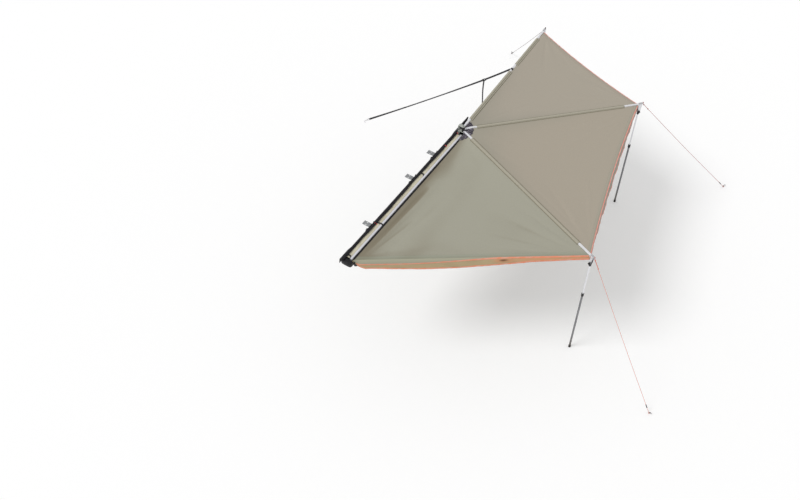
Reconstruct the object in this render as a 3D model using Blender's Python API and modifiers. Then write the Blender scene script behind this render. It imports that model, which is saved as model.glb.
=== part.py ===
# Vehicle side awning, opened out into a fan beside a roof rack.
# Metres, +Z up. +X runs toward the rear of the vehicle and -Y outward from its side.
# The origin is the middle of the top face of the middle roof bracket.
# Every place below is measured from the hub: the vertical hinge pin that the arms turn on.

import math

import bmesh
import bpy
import numpy as np
from mathutils import Matrix, Vector

# Fits
GAP = 0.0003
SIDE_PLAY = 0.0005

# Fan of arms: angles from the case, measured at the hub
ARM_ANGLES = {2: 68.85, 3: 136.98, 4: 182.82}
ARM_REACH = 2.42
ARM_DROOP = math.radians(2.36)
ARM_PITCH = 0.027
LOWEST_ARM_UP = -0.012
ARM_WIDTH = 0.026
ARM_HEIGHT = 0.022
ARM_WALL = 0.0018
ARM_CORNER = 0.003
ARM_START = 0.0755

# Hub of the middle bracket's frame
HUB = Vector((1.00, -0.165, 0.070))
PIN_RADIUS = 0.005
PIN_HEAD_ACROSS = 0.017
PIN_HEAD_HEIGHT = 0.007
NUT_HEIGHT = 0.009
KNUCKLE_RADIUS = 0.019
KNUCKLE_HEIGHT = 0.025
TONGUE_END = 0.115
WASHER_RADIUS = 0.016
HUB_PLATE = 0.006
HUB_PLATE_HALF = 0.022
RISER_OUTER = 0.0635

# Case: one aluminium extrusion that carries everything
CASE_REAR = 0.06
CASE_PAST_ARM = 0.020
CASE_FRONT = -(ARM_REACH + CASE_PAST_ARM)
CASE_BACK = 0.105
CASE_OUTER = -0.028
CASE_BOTTOM = -0.150
CASE_TOP = -0.0745
CASE_LIP_TOP = -0.120
CASE_WALL = 0.003
SLOT_UP = -0.112
SLOT_MOUTH = 0.009
SLOT_CHAMBER = 0.019
SLOT_DEPTH = 0.008

# Fixed rail, the first arm of the fan
RAIL_OUT = 0.007
RAIL_UP = -0.080
RAIL_REAR = -0.030
RAIL_FRONT = CASE_FRONT + 0.010
POST_PLACES = (-0.35, -1.30, CASE_FRONT + 0.140)
POST_LENGTH = 0.030

# Roof brackets
BRACKET_PLACES = (-0.51, -1.00, -1.90)
BRACKET_TOP = -0.070
BRACKET_PLATE = 0.005
BRACKET_REACH = 0.205
BRACKET_LOW = -0.132
BRACKET_LENGTH = 0.060
BRACKET_BOLT_SPACING = 0.028
BRACKET_SLOT_SPACING = 0.036
BRACKET_SLOT = (0.009, 0.024)
CASE_BOLT_RADIUS = 0.004
FOOT_BOLT_RADIUS = 0.003

# Soft bag
PVC = 0.0015
BAG_FRONT = CASE_FRONT - 0.060
BAG_REAR = CASE_REAR + 0.130
BAG_CORNER = 0.018
BAG_SLACK = 0.004
SKIRT_LOW = -0.26
SKIRT_OUT = -0.0345
LID_INNER = 0.068
LID_DROP = 0.10
LID_STAND = 0.006
LID_CROWN = 0.006
LID_BULGE = 0.005
LID_WAVE = 0.004
LID_END = 0.100
TIE_WIDTH = 0.020
TIE_PLACES = (-0.86, -1.81, CASE_FRONT + 0.050)

# Canopy
CLOTH = 0.0012
SLEEVE_WALL = 0.0012
SLEEVE_CLEARANCE = 0.0004
SLEEVE_START = 0.18
SLEEVE_END = ARM_REACH - 0.240
SLEEVE_BREAK = (1.32, 1.49)
PANEL_START = 0.13
PANEL_END = ARM_REACH - 0.050
PANEL_CASE_UP = -0.088
EDGE_HOLLOW = 0.020
PANEL_SAG = 0.020
VALANCE_DROP = 0.095

# Arm tips and legs
TIP_SETBACK = 0.01295
TIP_RADIUS = ARM_REACH * math.cos(ARM_DROOP) - TIP_SETBACK
TIP_PLATE = 0.003
TIP_DROP = 0.115
TIP_EYE_REACH = 0.050
EYE_BORE = 0.0045
EYE_EDGE = 0.011
CHEEK_HALF_LENGTH = 0.020
PIVOT_RADIUS = 0.004
KNOB_RADIUS = 0.015
KNOB_DEPTH = 0.014
HEAD_RADIUS = 0.0155
SOCKET_RADIUS = 0.015
SOCKET_LOW = -0.050
SOCKET_TOP = -0.0175
UPPER_TUBE_RADIUS = 0.011
UPPER_TUBE_LENGTH = 0.87
LOWER_TUBE_WALL = 0.0014
LOWER_TUBE_RADIUS = UPPER_TUBE_RADIUS + GAP + LOWER_TUBE_WALL
LOWER_TUBE_TOP = 1.15
TUBE_WALL = 0.0013
COLLAR_RADIUS = 0.017
COLLAR_BELOW = 0.035
COLLAR_ABOVE = 0.015
FOOT_RADIUS = 0.0165
FOOT_HEIGHT = 0.040
FOOT_SOLE = 0.008
GROUND = -1.98

# Guy ropes: where each peg stands from its arm tip, outward and sideways
GUY_PEGS = {2: (1.29, 0.14), 3: (1.67, -0.105), 4: (1.53, 1.08)}
ROPE_RADIUS = 0.0025
KNOT_RADIUS = 0.0065
KNOT_HEIGHT = 0.010
PEG_RADIUS = 0.004
PEG_DEPTH = 0.17
PEG_ABOVE = 0.035
PEG_LEAN = math.radians(20)
TENSIONER_LENGTH = 0.050
TENSIONER_FROM_PEG = 0.10

# Webbing strap to the far side of the roof rack, in the frame of the last arm
STRAP_WIDTH = 0.030
STRAP_THICK = 0.002
STRAP_ON_ARM = 1.375
BUCKLE_AT = Vector((0.978, 0.214, -0.040))
HOOK_AT = Vector((-0.453, 1.134, -0.040))
BUCKLE_LENGTH = 0.046
BUCKLE_WIDTH = 0.040
BUCKLE_THICK = 0.006
TAIL_LENGTH = 0.50
HOOK_WIRE = 0.0035

ROUND = 16
ALONG_X = Matrix(((0, 0, 1, 0), (1, 0, 0, 0), (0, 1, 0, 0), (0, 0, 0, 1)))
UPRIGHT = Matrix.Rotation(math.radians(90), 4, "X")


# Scene and small helpers

def clear_scene():
    for item in list(bpy.data.objects):
        bpy.data.objects.remove(item, do_unlink=True)


def new_collection(name):
    collection = bpy.data.collections.new(name)
    bpy.context.scene.collection.children.link(collection)
    return collection


def material(name, colour, roughness, metallic=0.0):
    made = bpy.data.materials.new(name)
    made.use_nodes = True
    shader = made.node_tree.nodes["Principled BSDF"]
    shader.inputs["Base Color"].default_value = (*colour, 1)
    shader.inputs["Roughness"].default_value = roughness
    shader.inputs["Metallic"].default_value = metallic
    return made


def frame_empty(name, parent, matrix):
    """An empty that stands on a joint's axis or at the start of a group of pieces."""
    empty = bpy.data.objects.new(name, None)
    empty.empty_display_size = 0.05
    PARTS.objects.link(empty)
    empty.parent = parent
    empty.matrix_local = matrix
    return empty


def piece(name, mesh, parent, finish, smooth=True):
    """A sub-part of the awning: its mesh is written in its parent's frame."""
    item = bpy.data.objects.new(name, mesh)
    PARTS.objects.link(item)
    item.parent = parent
    mesh.name = name
    mesh.materials.clear()
    mesh.materials.append(MATERIALS[finish])
    if smooth:
        mesh.shade_smooth()
        mesh.set_sharp_from_angle(angle=math.radians(35))
    return item


def tool(target, mesh, operation):
    """Cut a mesh from a piece, add it, or keep what both hold."""
    cutter = bpy.data.objects.new(target.name + "_tool", mesh)
    CUTTERS.objects.link(cutter)
    cutter.parent = target.parent
    cutter.hide_render = True
    cutter.display_type = "WIRE"
    step = target.modifiers.new(operation.lower(), "BOOLEAN")
    step.operation = operation
    step.object = cutter
    step.solver = "EXACT"


def cleaned(mesh):
    work = bmesh.new()
    work.from_mesh(mesh)
    bmesh.ops.remove_doubles(work, verts=work.verts, dist=0.00001)
    bmesh.ops.recalc_face_normals(work, faces=work.faces)
    work.to_mesh(mesh)
    work.free()
    return mesh


def evaluated_mesh(data, modifier=None, settings=None):
    """Mesh of a curve or an edge profile, after one modifier."""
    holder = bpy.data.objects.new("holder", data)
    bpy.context.scene.collection.objects.link(holder)
    if modifier:
        step = holder.modifiers.new(modifier.lower(), modifier)
        for key, value in settings.items():
            setattr(step, key, value)
    bpy.context.view_layer.update()
    graph = bpy.context.evaluated_depsgraph_get()
    mesh = bpy.data.meshes.new_from_object(holder.evaluated_get(graph))
    bpy.data.objects.remove(holder)
    return cleaned(mesh)


def placed(mesh, *matrices):
    """Mesh moved by the product of the matrices, the last one first."""
    total = Matrix.Identity(4)
    for matrix in matrices:
        total = total @ matrix
    mesh.transform(total)
    return mesh


def shift(x, y, z):
    return Matrix.Translation((x, y, z))


# Shapes

def flat_shape(outlines, depth):
    """Flat outline, later outlines being holes in it, with a thickness about z = 0."""
    curve = bpy.data.curves.new("outline", "CURVE")
    curve.dimensions = "2D"
    curve.fill_mode = "BOTH"
    curve.extrude = depth / 2
    for outline in outlines:
        spline = curve.splines.new("POLY")
        spline.points.add(len(outline) - 1)
        for point, (x, y) in zip(spline.points, outline):
            point.co = (x, y, 0, 1)
        spline.use_cyclic_u = True
    return evaluated_mesh(curve)


def turned(profile, closed=False, steps=ROUND):
    """Profile of (radius, height) points turned about Z, outer side listed from the top down."""
    mesh = bpy.data.meshes.new("profile")
    verts = [(radius, 0, height) for radius, height in profile]
    edges = [(i, i + 1) for i in range(len(verts) - 1)]
    if closed:
        edges.append((len(verts) - 1, 0))
    mesh.from_pydata(verts, edges, [])
    settings = {"axis": "Z", "steps": steps, "render_steps": steps,
                "use_merge_vertices": True, "merge_threshold": 0.0001}
    return evaluated_mesh(mesh, "SCREW", settings)


def rod(radius, low, high, steps=ROUND):
    return turned([(0, high), (radius, high), (radius, low), (0, low)], steps=steps)


def pipe(outer, inner, low, high, steps=ROUND):
    profile = [(inner, high), (outer, high), (outer, low), (inner, low)]
    return turned(profile, closed=True, steps=steps)


def block(low, high):
    work = bmesh.new()
    bmesh.ops.create_cube(work, size=1)
    size = Vector(high) - Vector(low)
    middle = (Vector(high) + Vector(low)) / 2
    bmesh.ops.scale(work, verts=work.verts, vec=size)
    bmesh.ops.translate(work, verts=work.verts, vec=middle)
    mesh = bpy.data.meshes.new("block")
    work.to_mesh(mesh)
    work.free()
    return mesh


def rounded_rectangle(width, height, corner, steps=3):
    points = []
    for sign_x, sign_y, start in ((1, 1, 0), (-1, 1, 90), (-1, -1, 180), (1, -1, 270)):
        centre_x = sign_x * (width / 2 - corner)
        centre_y = sign_y * (height / 2 - corner)
        for i in range(steps + 1):
            angle = math.radians(start + 90 * i / steps)
            x = centre_x + corner * math.cos(angle)
            y = centre_y + corner * math.sin(angle)
            points.append((x, y))
    return points


def arc(centre_x, centre_y, radius, start, end, steps):
    """Points on an arc, from one angle in degrees to another."""
    points = []
    for i in range(steps + 1):
        angle = math.radians(start + (end - start) * i / steps)
        x = centre_x + radius * math.cos(angle)
        y = centre_y + radius * math.sin(angle)
        points.append((x, y))
    return points


def lobed_outline(radius, depth, lobes, points_each):
    """Round outline with shallow flutes for the fingers."""
    count = lobes * points_each
    points = []
    for i in range(count):
        angle = 2 * math.pi * i / count
        reach = radius - depth * (1 - math.cos(lobes * angle)) / 2
        points.append((reach * math.cos(angle), reach * math.sin(angle)))
    return points


def hexagon(across):
    return arc(0, 0, across / math.sqrt(3), 0, 300, 5)


def box_tube(width, height, wall, corner, length):
    """Rectangular tube along X from x = 0, open at both ends."""
    outline = rounded_rectangle(width, height, corner)
    count = len(outline)
    verts = [(x, y, z) for x in (0, length) for y, z in outline]
    faces = []
    for i in range(count):
        after = (i + 1) % count
        faces.append((i, after, after + count, i + count))
    mesh = bpy.data.meshes.new("tube")
    mesh.from_pydata(verts, [], faces)
    settings = {"thickness": wall, "offset": -1, "use_even_offset": True}
    return evaluated_mesh(mesh, "SOLIDIFY", settings)


def sheet(name, surface, across, along, thickness, parent, finish):
    """Cloth or webbing: a surface of two parameters, each 0 to 1, with a thickness."""
    verts = []
    for j in range(along + 1):
        for i in range(across + 1):
            verts.append(surface(i / across, j / along))
    faces = []
    row = across + 1
    for j in range(along):
        for i in range(across):
            corner = j * row + i
            faces.append((corner, corner + 1, corner + row + 1, corner + row))
    mesh = bpy.data.meshes.new(name)
    mesh.from_pydata(verts, [], faces)
    item = piece(name, mesh, parent, finish)
    skin = item.modifiers.new("thickness", "SOLIDIFY")
    skin.thickness = thickness
    skin.offset = 0
    skin.use_even_offset = True
    return item


def smooth_route(points, count):
    """Evenly spaced points on a smooth curve through the given ones."""
    given = [Vector(p) for p in points]
    ends = [2 * given[0] - given[1]] + given + [2 * given[-1] - given[-2]]
    fine = []
    for a, b, c, d in zip(ends, ends[1:], ends[2:], ends[3:]):
        for i in range(20):
            t = i / 20
            bend = (2 * a - 5 * b + 4 * c - d) * t * t + (3 * b - 3 * c + d - a) * t ** 3
            fine.append(b + ((c - a) * t + bend) / 2)
    fine.append(given[-1])
    reach = np.concatenate([[0], np.cumsum([(b - a).length for a, b in zip(fine, fine[1:])])])
    even = np.linspace(0, reach[-1], count)
    columns = [np.interp(even, reach, [p[axis] for p in fine]) for axis in range(3)]
    return [Vector(p) for p in zip(*columns)]


def cord_mesh(points, radius, resolution=2):
    curve = bpy.data.curves.new("cord", "CURVE")
    curve.dimensions = "3D"
    curve.bevel_depth = radius
    curve.bevel_resolution = resolution
    curve.use_fill_caps = True
    spline = curve.splines.new("POLY")
    spline.points.add(len(points) - 1)
    for point, place in zip(spline.points, points):
        point.co = (*place, 1)
    return evaluated_mesh(curve)


# Case, rail and bag

def make_backboard():
    """Extruded channel with a bolt slot along its back wall and an outer lip."""
    back_inner = CASE_BACK - CASE_WALL
    mouth_low = SLOT_UP - SLOT_MOUTH / 2
    mouth_high = SLOT_UP + SLOT_MOUTH / 2
    chamber_low = SLOT_UP - SLOT_CHAMBER / 2
    chamber_high = SLOT_UP + SLOT_CHAMBER / 2
    chamber_inner = back_inner - SLOT_DEPTH
    floor_top = CASE_BOTTOM + CASE_WALL
    outline = [
        (CASE_OUTER, CASE_BOTTOM),
        (CASE_BACK, CASE_BOTTOM),
        (CASE_BACK, mouth_low),
        (back_inner, mouth_low),
        (back_inner, chamber_low),
        (chamber_inner, chamber_low),
        (chamber_inner, chamber_high),
        (back_inner, chamber_high),
        (back_inner, mouth_high),
        (CASE_BACK, mouth_high),
        (CASE_BACK, CASE_TOP),
        (back_inner, CASE_TOP),
        (back_inner, chamber_high + CASE_WALL),
        (chamber_inner - CASE_WALL, chamber_high + CASE_WALL),
        (chamber_inner - CASE_WALL, chamber_low - CASE_WALL),
        (back_inner, chamber_low - CASE_WALL),
        (back_inner, floor_top),
        (CASE_OUTER + CASE_WALL, floor_top),
        (CASE_OUTER + CASE_WALL, CASE_LIP_TOP),
        (CASE_OUTER, CASE_LIP_TOP),
    ]
    length = CASE_REAR - CASE_FRONT
    middle = (CASE_REAR + CASE_FRONT) / 2
    mesh = placed(flat_shape([outline], length), shift(middle, 0, 0), ALONG_X)
    board = piece("backboard", mesh, CASE, "extrusion", smooth=False)
    for x, y in hub_bolt_places():
        hole = rod(FOOT_BOLT_RADIUS + GAP, CASE_BOTTOM - 0.01, floor_top + 0.01, 12)
        tool(board, placed(hole, shift(x, y, 0)), "DIFFERENCE")


def make_rail():
    """Fixed rail of the fan, with the pressed saddles that are welded under it."""
    length = RAIL_REAR - RAIL_FRONT
    tube = box_tube(ARM_WIDTH, ARM_HEIGHT, ARM_WALL, ARM_CORNER, length)
    rail = piece("arm_1_rail", placed(tube, shift(RAIL_FRONT, RAIL_OUT, RAIL_UP)), CASE, "aluminium")
    low = CASE_BOTTOM + CASE_WALL + GAP
    high = RAIL_UP - ARM_HEIGHT / 2 + ARM_WALL / 2
    plate = 0.003
    foot_half = 0.020
    top_half = ARM_WIDTH / 2 - ARM_CORNER - 0.001
    web_half = 0.003
    outline = [
        (-foot_half, low), (foot_half, low), (foot_half, low + plate),
        (web_half, low + 2 * plate), (web_half, high - 2 * plate),
        (top_half, high - plate), (top_half, high), (-top_half, high),
        (-top_half, high - plate), (-web_half, high - 2 * plate),
        (-web_half, low + 2 * plate), (-foot_half, low + plate),
    ]
    for x in POST_PLACES:
        post = placed(flat_shape([outline], POST_LENGTH), shift(x, RAIL_OUT, 0), ALONG_X)
        tool(rail, post, "UNION")


def make_liner():
    """Pale cloth that spans the case from the rail to the back wall."""
    start = RAIL_OUT + ARM_WIDTH / 2 + SIDE_PLAY
    end = CASE_BACK - CASE_WALL - SIDE_PLAY
    front = CASE_FRONT + 0.02
    rear = -HUB_PLATE_HALF - 0.013
    edge_up = RAIL_UP + 0.0015

    def surface(u, v):
        x = front + (rear - front) * v
        sag = 0.007 * math.sin(math.pi * u) * (1 + 0.25 * math.sin(x * 9))
        return (x, start + (end - start) * u, edge_up - sag)

    liner = sheet("liner_strip", surface, 4, 16, CLOTH, CASE, "pale_cloth")
    for x in TIE_PLACES:
        tool(liner, tie_strap(x), "UNION")


def make_bag_body():
    """One PVC skin: up the back wall, under the case, over the lip and down as a skirt."""
    half = PVC / 2
    near = half + GAP
    lip = CASE_OUTER - near
    path = [
        (CASE_BACK + near, BRACKET_LOW - 0.002),
        (CASE_BACK + near, CASE_BOTTOM - near),
        (CASE_OUTER + 0.045, CASE_BOTTOM - near),
        (lip, CASE_BOTTOM - near),
        (lip, CASE_LIP_TOP - 0.001),
        (SKIRT_OUT, CASE_LIP_TOP - 0.006),
        (SKIRT_OUT - 0.001, -0.17),
        (SKIRT_OUT + 0.001, -0.22),
        (SKIRT_OUT, SKIRT_LOW),
    ]

    def surface(u, v):
        y, z = path[round(u * (len(path) - 1))]
        x = CASE_FRONT + (CASE_REAR - CASE_FRONT) * v
        below = max(0.0, (CASE_BOTTOM - z) / (CASE_BOTTOM - SKIRT_LOW)) if y < CASE_OUTER else 0
        return (x, y - 0.002 * below * math.sin(x * 7), z)

    sheet("bag_body", surface, len(path) - 1, 14, PVC, CASE, "black_pvc")


def lid_freedom(x):
    """0 beside a bracket, where the lid lies short, and 1 where it can hang down the back."""
    clear = min(abs(x - place) for place in BRACKET_PLACES)
    share = min(1.0, max(0.0, (clear - BRACKET_LENGTH / 2 - 0.012) / 0.09))
    return share * share * (3 - 2 * share)


def lid_stations():
    """Places along the lid: close together where it passes from a bracket to a free stretch."""
    stations = {BAG_FRONT, BAG_REAR}
    for place in BRACKET_PLACES:
        for step in (0.012, 0.036, 0.060, 0.085, 0.110):
            stations.add(place - BRACKET_LENGTH / 2 - step)
            stations.add(place + BRACKET_LENGTH / 2 + step)
    ordered = sorted(stations)
    filled = []
    for a, b in zip(ordered, ordered[1:]):
        parts = max(1, round((b - a) / 0.11))
        filled += [a + (b - a) * i / parts for i in range(parts)]
    return filled + [ordered[-1]]


def make_bag_lid():
    """The bag's long lid, thrown back over the back wall and hanging between the brackets."""
    stations = lid_stations()
    rest_up = CASE_TOP + GAP + PVC / 2
    short_edge = CASE_BACK - 0.009

    def surface(u, v):
        x = stations[round(v * (len(stations) - 1))]
        free = lid_freedom(x)
        free_edge = CASE_BACK + GAP + PVC / 2
        if x < CASE_FRONT + LID_END or x > CASE_REAR - LID_END:
            free_edge += 2 * BAG_SLACK
        edge = short_edge + (free_edge - short_edge) * min(1.0, free * 6)
        wave = 0.5 + 0.5 * math.sin(x * 8 + 1)
        if u <= 0.5:
            share = u / 0.5
            crown = (LID_CROWN + LID_WAVE * wave) * math.sin(math.pi * share)
            return (x, LID_INNER + (edge - LID_INNER) * share, rest_up + crown)
        share = (u - 0.5) / 0.5
        hang = max(0.0, (free - 0.25) / 0.75)
        drop = LID_DROP * hang * (0.9 + 0.1 * math.sin(x * 11)) - LID_STAND * (1 - hang)
        bulge = (LID_BULGE + LID_WAVE * wave) * math.sin(math.pi * share / 2)
        return (x, edge + bulge, rest_up - drop * share)

    sheet("bag_lid", surface, 6, len(stations) - 1, PVC, CASE, "black_pvc")


def end_pocket(start, end):
    """Soft cup that closes one end of the bag, open toward the case."""
    low = Vector((min(start, end), CASE_OUTER - BAG_SLACK, CASE_BOTTOM - 1.5 * BAG_SLACK))
    high = Vector((max(start, end), CASE_BACK + 2 * BAG_SLACK, CASE_TOP - BAG_SLACK))
    mesh = block(low, high)
    work = bmesh.new()
    work.from_mesh(mesh)
    open_face = min(work.faces, key=lambda f: abs(f.calc_center_median().x - start))
    bmesh.ops.delete(work, geom=[open_face], context="FACES")
    rounded = [e for e in work.edges if not e.is_boundary]
    bmesh.ops.bevel(work, geom=rounded, offset=BAG_CORNER, segments=3, profile=0.5, affect="EDGES")
    work.to_mesh(mesh)
    work.free()
    settings = {"thickness": PVC, "offset": -1, "use_even_offset": True}
    return evaluated_mesh(mesh, "SOLIDIFY", settings)


def make_bag_ends():
    piece("bag_end_front", end_pocket(CASE_FRONT - GAP, BAG_FRONT), CASE, "black_pvc")
    piece("bag_end_rear", end_pocket(CASE_REAR + GAP, BAG_REAR), CASE, "black_pvc")


def tie_strap(x):
    """Narrow tie sewn into the liner under the lid's edge and lying over the rail."""
    half = PVC / 2
    top = RAIL_UP + ARM_HEIGHT / 2 + GAP + half
    outer = RAIL_OUT - ARM_WIDTH / 2 - GAP - half
    inner = RAIL_OUT + ARM_WIDTH / 2
    path = [
        (outer, top - 0.012), (outer, top - 0.002), (outer + 0.002, top),
        (inner, top), (inner + 0.006, top - 0.003), (LID_INNER - 0.022, top - 0.0075),
        (LID_INNER - 0.005, top - 0.0108), (LID_INNER + 0.020, top - 0.01385),
    ]
    return placed(flat_shape([flat_ribbon(path, PVC)], TIE_WIDTH), shift(x, 0, 0), ALONG_X)


def flat_ribbon(path, thickness):
    """Closed outline of a strip that follows a path of points in a plane."""
    points = [Vector(p) for p in path]
    left, right = [], []
    for i, here in enumerate(points):
        before = points[max(i - 1, 0)]
        after = points[min(i + 1, len(points) - 1)]
        run = (after - before).normalized()
        side = Vector((-run.y, run.x)) * thickness / 2
        left.append(tuple(here + side))
        right.append(tuple(here - side))
    return left + right[::-1]


def make_roof_brackets():
    """Three angle brackets, slotted for the roof bars and bolted into the slot of the case."""
    inner = CASE_BACK + GAP
    outline = [
        (inner, BRACKET_LOW),
        (inner + BRACKET_PLATE, BRACKET_LOW),
        (inner + BRACKET_PLATE, BRACKET_TOP - BRACKET_PLATE - 0.006),
        (inner + BRACKET_PLATE + 0.006, BRACKET_TOP - BRACKET_PLATE),
        (BRACKET_REACH, BRACKET_TOP - BRACKET_PLATE),
        (BRACKET_REACH, BRACKET_TOP),
        (inner + 0.004, BRACKET_TOP),
        (inner, BRACKET_TOP - 0.004),
    ]
    slot_width, slot_length = BRACKET_SLOT
    slot_middle = (inner + BRACKET_PLATE + BRACKET_REACH) / 2 + 0.004
    slot_outline = rounded_rectangle(slot_width, slot_length, slot_width / 2 - 0.0001, 4)
    for number, x in enumerate(BRACKET_PLACES, 1):
        angle = placed(flat_shape([outline], BRACKET_LENGTH), shift(x, 0, 0), ALONG_X)
        bracket = piece(f"roof_bracket_{number}", angle, CASE, "zinc_steel", smooth=False)
        for side in (-1, 1):
            slot = flat_shape([slot_outline], 4 * BRACKET_PLATE)
            across = x + side * BRACKET_SLOT_SPACING / 2
            tool(bracket, placed(slot, shift(across, slot_middle, BRACKET_TOP)), "DIFFERENCE")
            tool(bracket, slot_bolt(x + side * BRACKET_BOLT_SPACING / 2), "UNION")


def slot_bolt(x):
    """Bolt of a bracket: head outside, shank through the mouth of the slot, round nut in its chamber."""
    head = BRACKET_PLATE - 0.001
    nut = -CASE_WALL - 2 * GAP
    nut_radius = SLOT_CHAMBER / 2 - 0.0015
    profile = [
        (0, head + 0.007), (0.006, head + 0.007), (0.0070, head + 0.006), (0.0070, head),
        (CASE_BOLT_RADIUS, head), (CASE_BOLT_RADIUS, nut), (nut_radius, nut),
        (nut_radius, nut - 0.005), (0, nut - 0.005),
    ]
    turn = Matrix.Rotation(math.radians(-90), 4, "X")
    return placed(turned(profile, steps=12), shift(x, CASE_BACK + GAP, SLOT_UP), turn)


def hub_bolt_places():
    places = []
    for x in (-0.013, 0.013):
        places.append((x, 0.030))
        places.append((x, 0.083))
    return places


# Hub

def ear_level():
    """Top of the lower ear and underside of the upper one, about the stack of knuckles."""
    washer_space = ARM_PITCH - KNUCKLE_HEIGHT
    low = LOWEST_ARM_UP - KNUCKLE_HEIGHT / 2 - washer_space
    high = LOWEST_ARM_UP + 2 * ARM_PITCH + KNUCKLE_HEIGHT / 2 + SIDE_PLAY
    return low, high


def make_hub_bracket():
    """Welded bracket: a foot on the case floor, a riser, and two ears that hold the pin."""
    low_ear, high_ear = ear_level()
    foot_low = CASE_BOTTOM + CASE_WALL + GAP
    riser_inner = RISER_OUTER - HUB_PLATE
    tip = -HUB_PLATE_HALF
    outline = [
        (0.012, foot_low), (0.094, foot_low), (0.094, foot_low + HUB_PLATE),
        (RISER_OUTER, foot_low + HUB_PLATE), (RISER_OUTER, high_ear + HUB_PLATE - 0.004),
        (RISER_OUTER - 0.004, high_ear + HUB_PLATE),
        (tip, high_ear + HUB_PLATE), (tip, high_ear), (riser_inner, high_ear),
        (riser_inner, low_ear), (tip, low_ear), (tip, low_ear - HUB_PLATE),
        (riser_inner, low_ear - HUB_PLATE), (riser_inner, foot_low + HUB_PLATE),
        (0.012, foot_low + HUB_PLATE),
    ]
    mesh = placed(flat_shape([outline], 2 * HUB_PLATE_HALF), ALONG_X)
    bracket = piece("hub_bracket", mesh, CASE, "grey_paint", smooth=False)
    plan = [(HUB_PLATE_HALF, 0), (HUB_PLATE_HALF, 0.12), (-HUB_PLATE_HALF, 0.12)]
    plan += arc(0, 0, HUB_PLATE_HALF, 180, 345, 11)
    tool(bracket, flat_shape([plan], 0.6), "INTERSECT")
    gusset = [
        (RISER_OUTER - 0.001, foot_low + HUB_PLATE - 0.001),
        (0.090, foot_low + HUB_PLATE - 0.001),
        (RISER_OUTER - 0.001, foot_low + 0.045),
    ]
    tool(bracket, placed(flat_shape([gusset], 0.005), ALONG_X), "UNION")
    tool(bracket, rod(PIN_RADIUS + GAP, low_ear - 0.02, high_ear + 0.02, 20), "DIFFERENCE")
    foot_top = foot_low + HUB_PLATE
    for x, y in hub_bolt_places():
        reach = FOOT_BOLT_RADIUS * 2
        profile = [
            (0, foot_top + 0.004), (reach - 0.001, foot_top + 0.004), (reach, foot_top + 0.003),
            (reach, foot_top - 0.001), (FOOT_BOLT_RADIUS, foot_top - 0.001),
            (FOOT_BOLT_RADIUS, CASE_BOTTOM + GAP), (0, CASE_BOTTOM + GAP),
        ]
        tool(bracket, placed(turned(profile, steps=12), shift(x, y, 0)), "UNION")


def make_hinge_pin():
    """Long bolt through the ears and knuckles, with its nut below."""
    low_ear, high_ear = ear_level()
    head_face = high_ear + HUB_PLATE + GAP
    nut_face = low_ear - HUB_PLATE - GAP
    end = nut_face - NUT_HEIGHT - 0.004
    head_middle = head_face + PIN_HEAD_HEIGHT / 2
    head = placed(flat_shape([hexagon(PIN_HEAD_ACROSS)], PIN_HEAD_HEIGHT), shift(0, 0, head_middle))
    pin = piece("hinge_pin", head, CASE, "zinc_steel", smooth=False)
    tool(pin, rod(PIN_RADIUS, end, head_middle, 20), "UNION")
    nut_middle = nut_face - NUT_HEIGHT / 2
    nut = placed(flat_shape([hexagon(PIN_HEAD_ACROSS)], NUT_HEIGHT), shift(0, 0, nut_middle))
    tool(pin, nut, "UNION")


def make_hinge_washers():
    """One washer under each knuckle."""
    low_ear, _ = ear_level()
    space = ARM_PITCH - KNUCKLE_HEIGHT
    for level, arm in enumerate(ARM_ANGLES):
        low = low_ear + level * ARM_PITCH + GAP
        ring = pipe(WASHER_RADIUS, PIN_RADIUS + GAP, low, low + space - 2 * GAP, 20)
        piece(f"hinge_washer_{arm}", ring, CASE, "white_nylon")


# Arms

def make_arm(number, frame):
    """Knuckle, tube and sleeve of one arm, in the frame whose X runs out along the arm."""
    tilt = Matrix.Rotation(ARM_DROOP, 4, "Y")
    half = KNUCKLE_HEIGHT / 2
    barrel = turned([
        (0, half), (KNUCKLE_RADIUS - 0.001, half), (KNUCKLE_RADIUS, half - 0.001),
        (KNUCKLE_RADIUS, 0.001 - half), (KNUCKLE_RADIUS - 0.001, -half), (0, -half),
    ])
    knuckle = piece(f"knuckle_{number}", barrel, frame, "black_casting")
    tongue_width = ARM_WIDTH - 2 * ARM_WALL - 2 * GAP
    tongue_height = ARM_HEIGHT - 2 * ARM_WALL - 2 * GAP
    tongue = flat_shape([rounded_rectangle(tongue_width, tongue_height, 0.0015, 1)], TONGUE_END)
    tool(knuckle, placed(tongue, tilt, shift(TONGUE_END / 2, 0, 0), ALONG_X), "UNION")
    tool(knuckle, rod(PIN_RADIUS + GAP, -0.03, 0.03, 20), "DIFFERENCE")

    length = ARM_REACH - ARM_START
    tube = box_tube(ARM_WIDTH, ARM_HEIGHT, ARM_WALL, ARM_CORNER, length)
    piece(f"arm_{number}", placed(tube, tilt, shift(ARM_START, 0, 0)), frame, "aluminium")

    spans = {f"sleeve_{number}": (SLEEVE_START, SLEEVE_END)}
    if number == 4:
        spans = {
            "sleeve_4_inner": (SLEEVE_START, SLEEVE_BREAK[0]),
            "sleeve_4_outer": (SLEEVE_BREAK[1], SLEEVE_END),
        }
    grow = 2 * (SLEEVE_WALL + SLEEVE_CLEARANCE)
    width, height, corner = ARM_WIDTH + grow, ARM_HEIGHT + grow, ARM_CORNER + grow / 2
    for name, (start, end) in spans.items():
        sleeve = box_tube(width, height, SLEEVE_WALL, corner, end - start)
        piece(name, placed(sleeve, tilt, shift(start, 0, 0)), frame, "olive_cloth")


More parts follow.
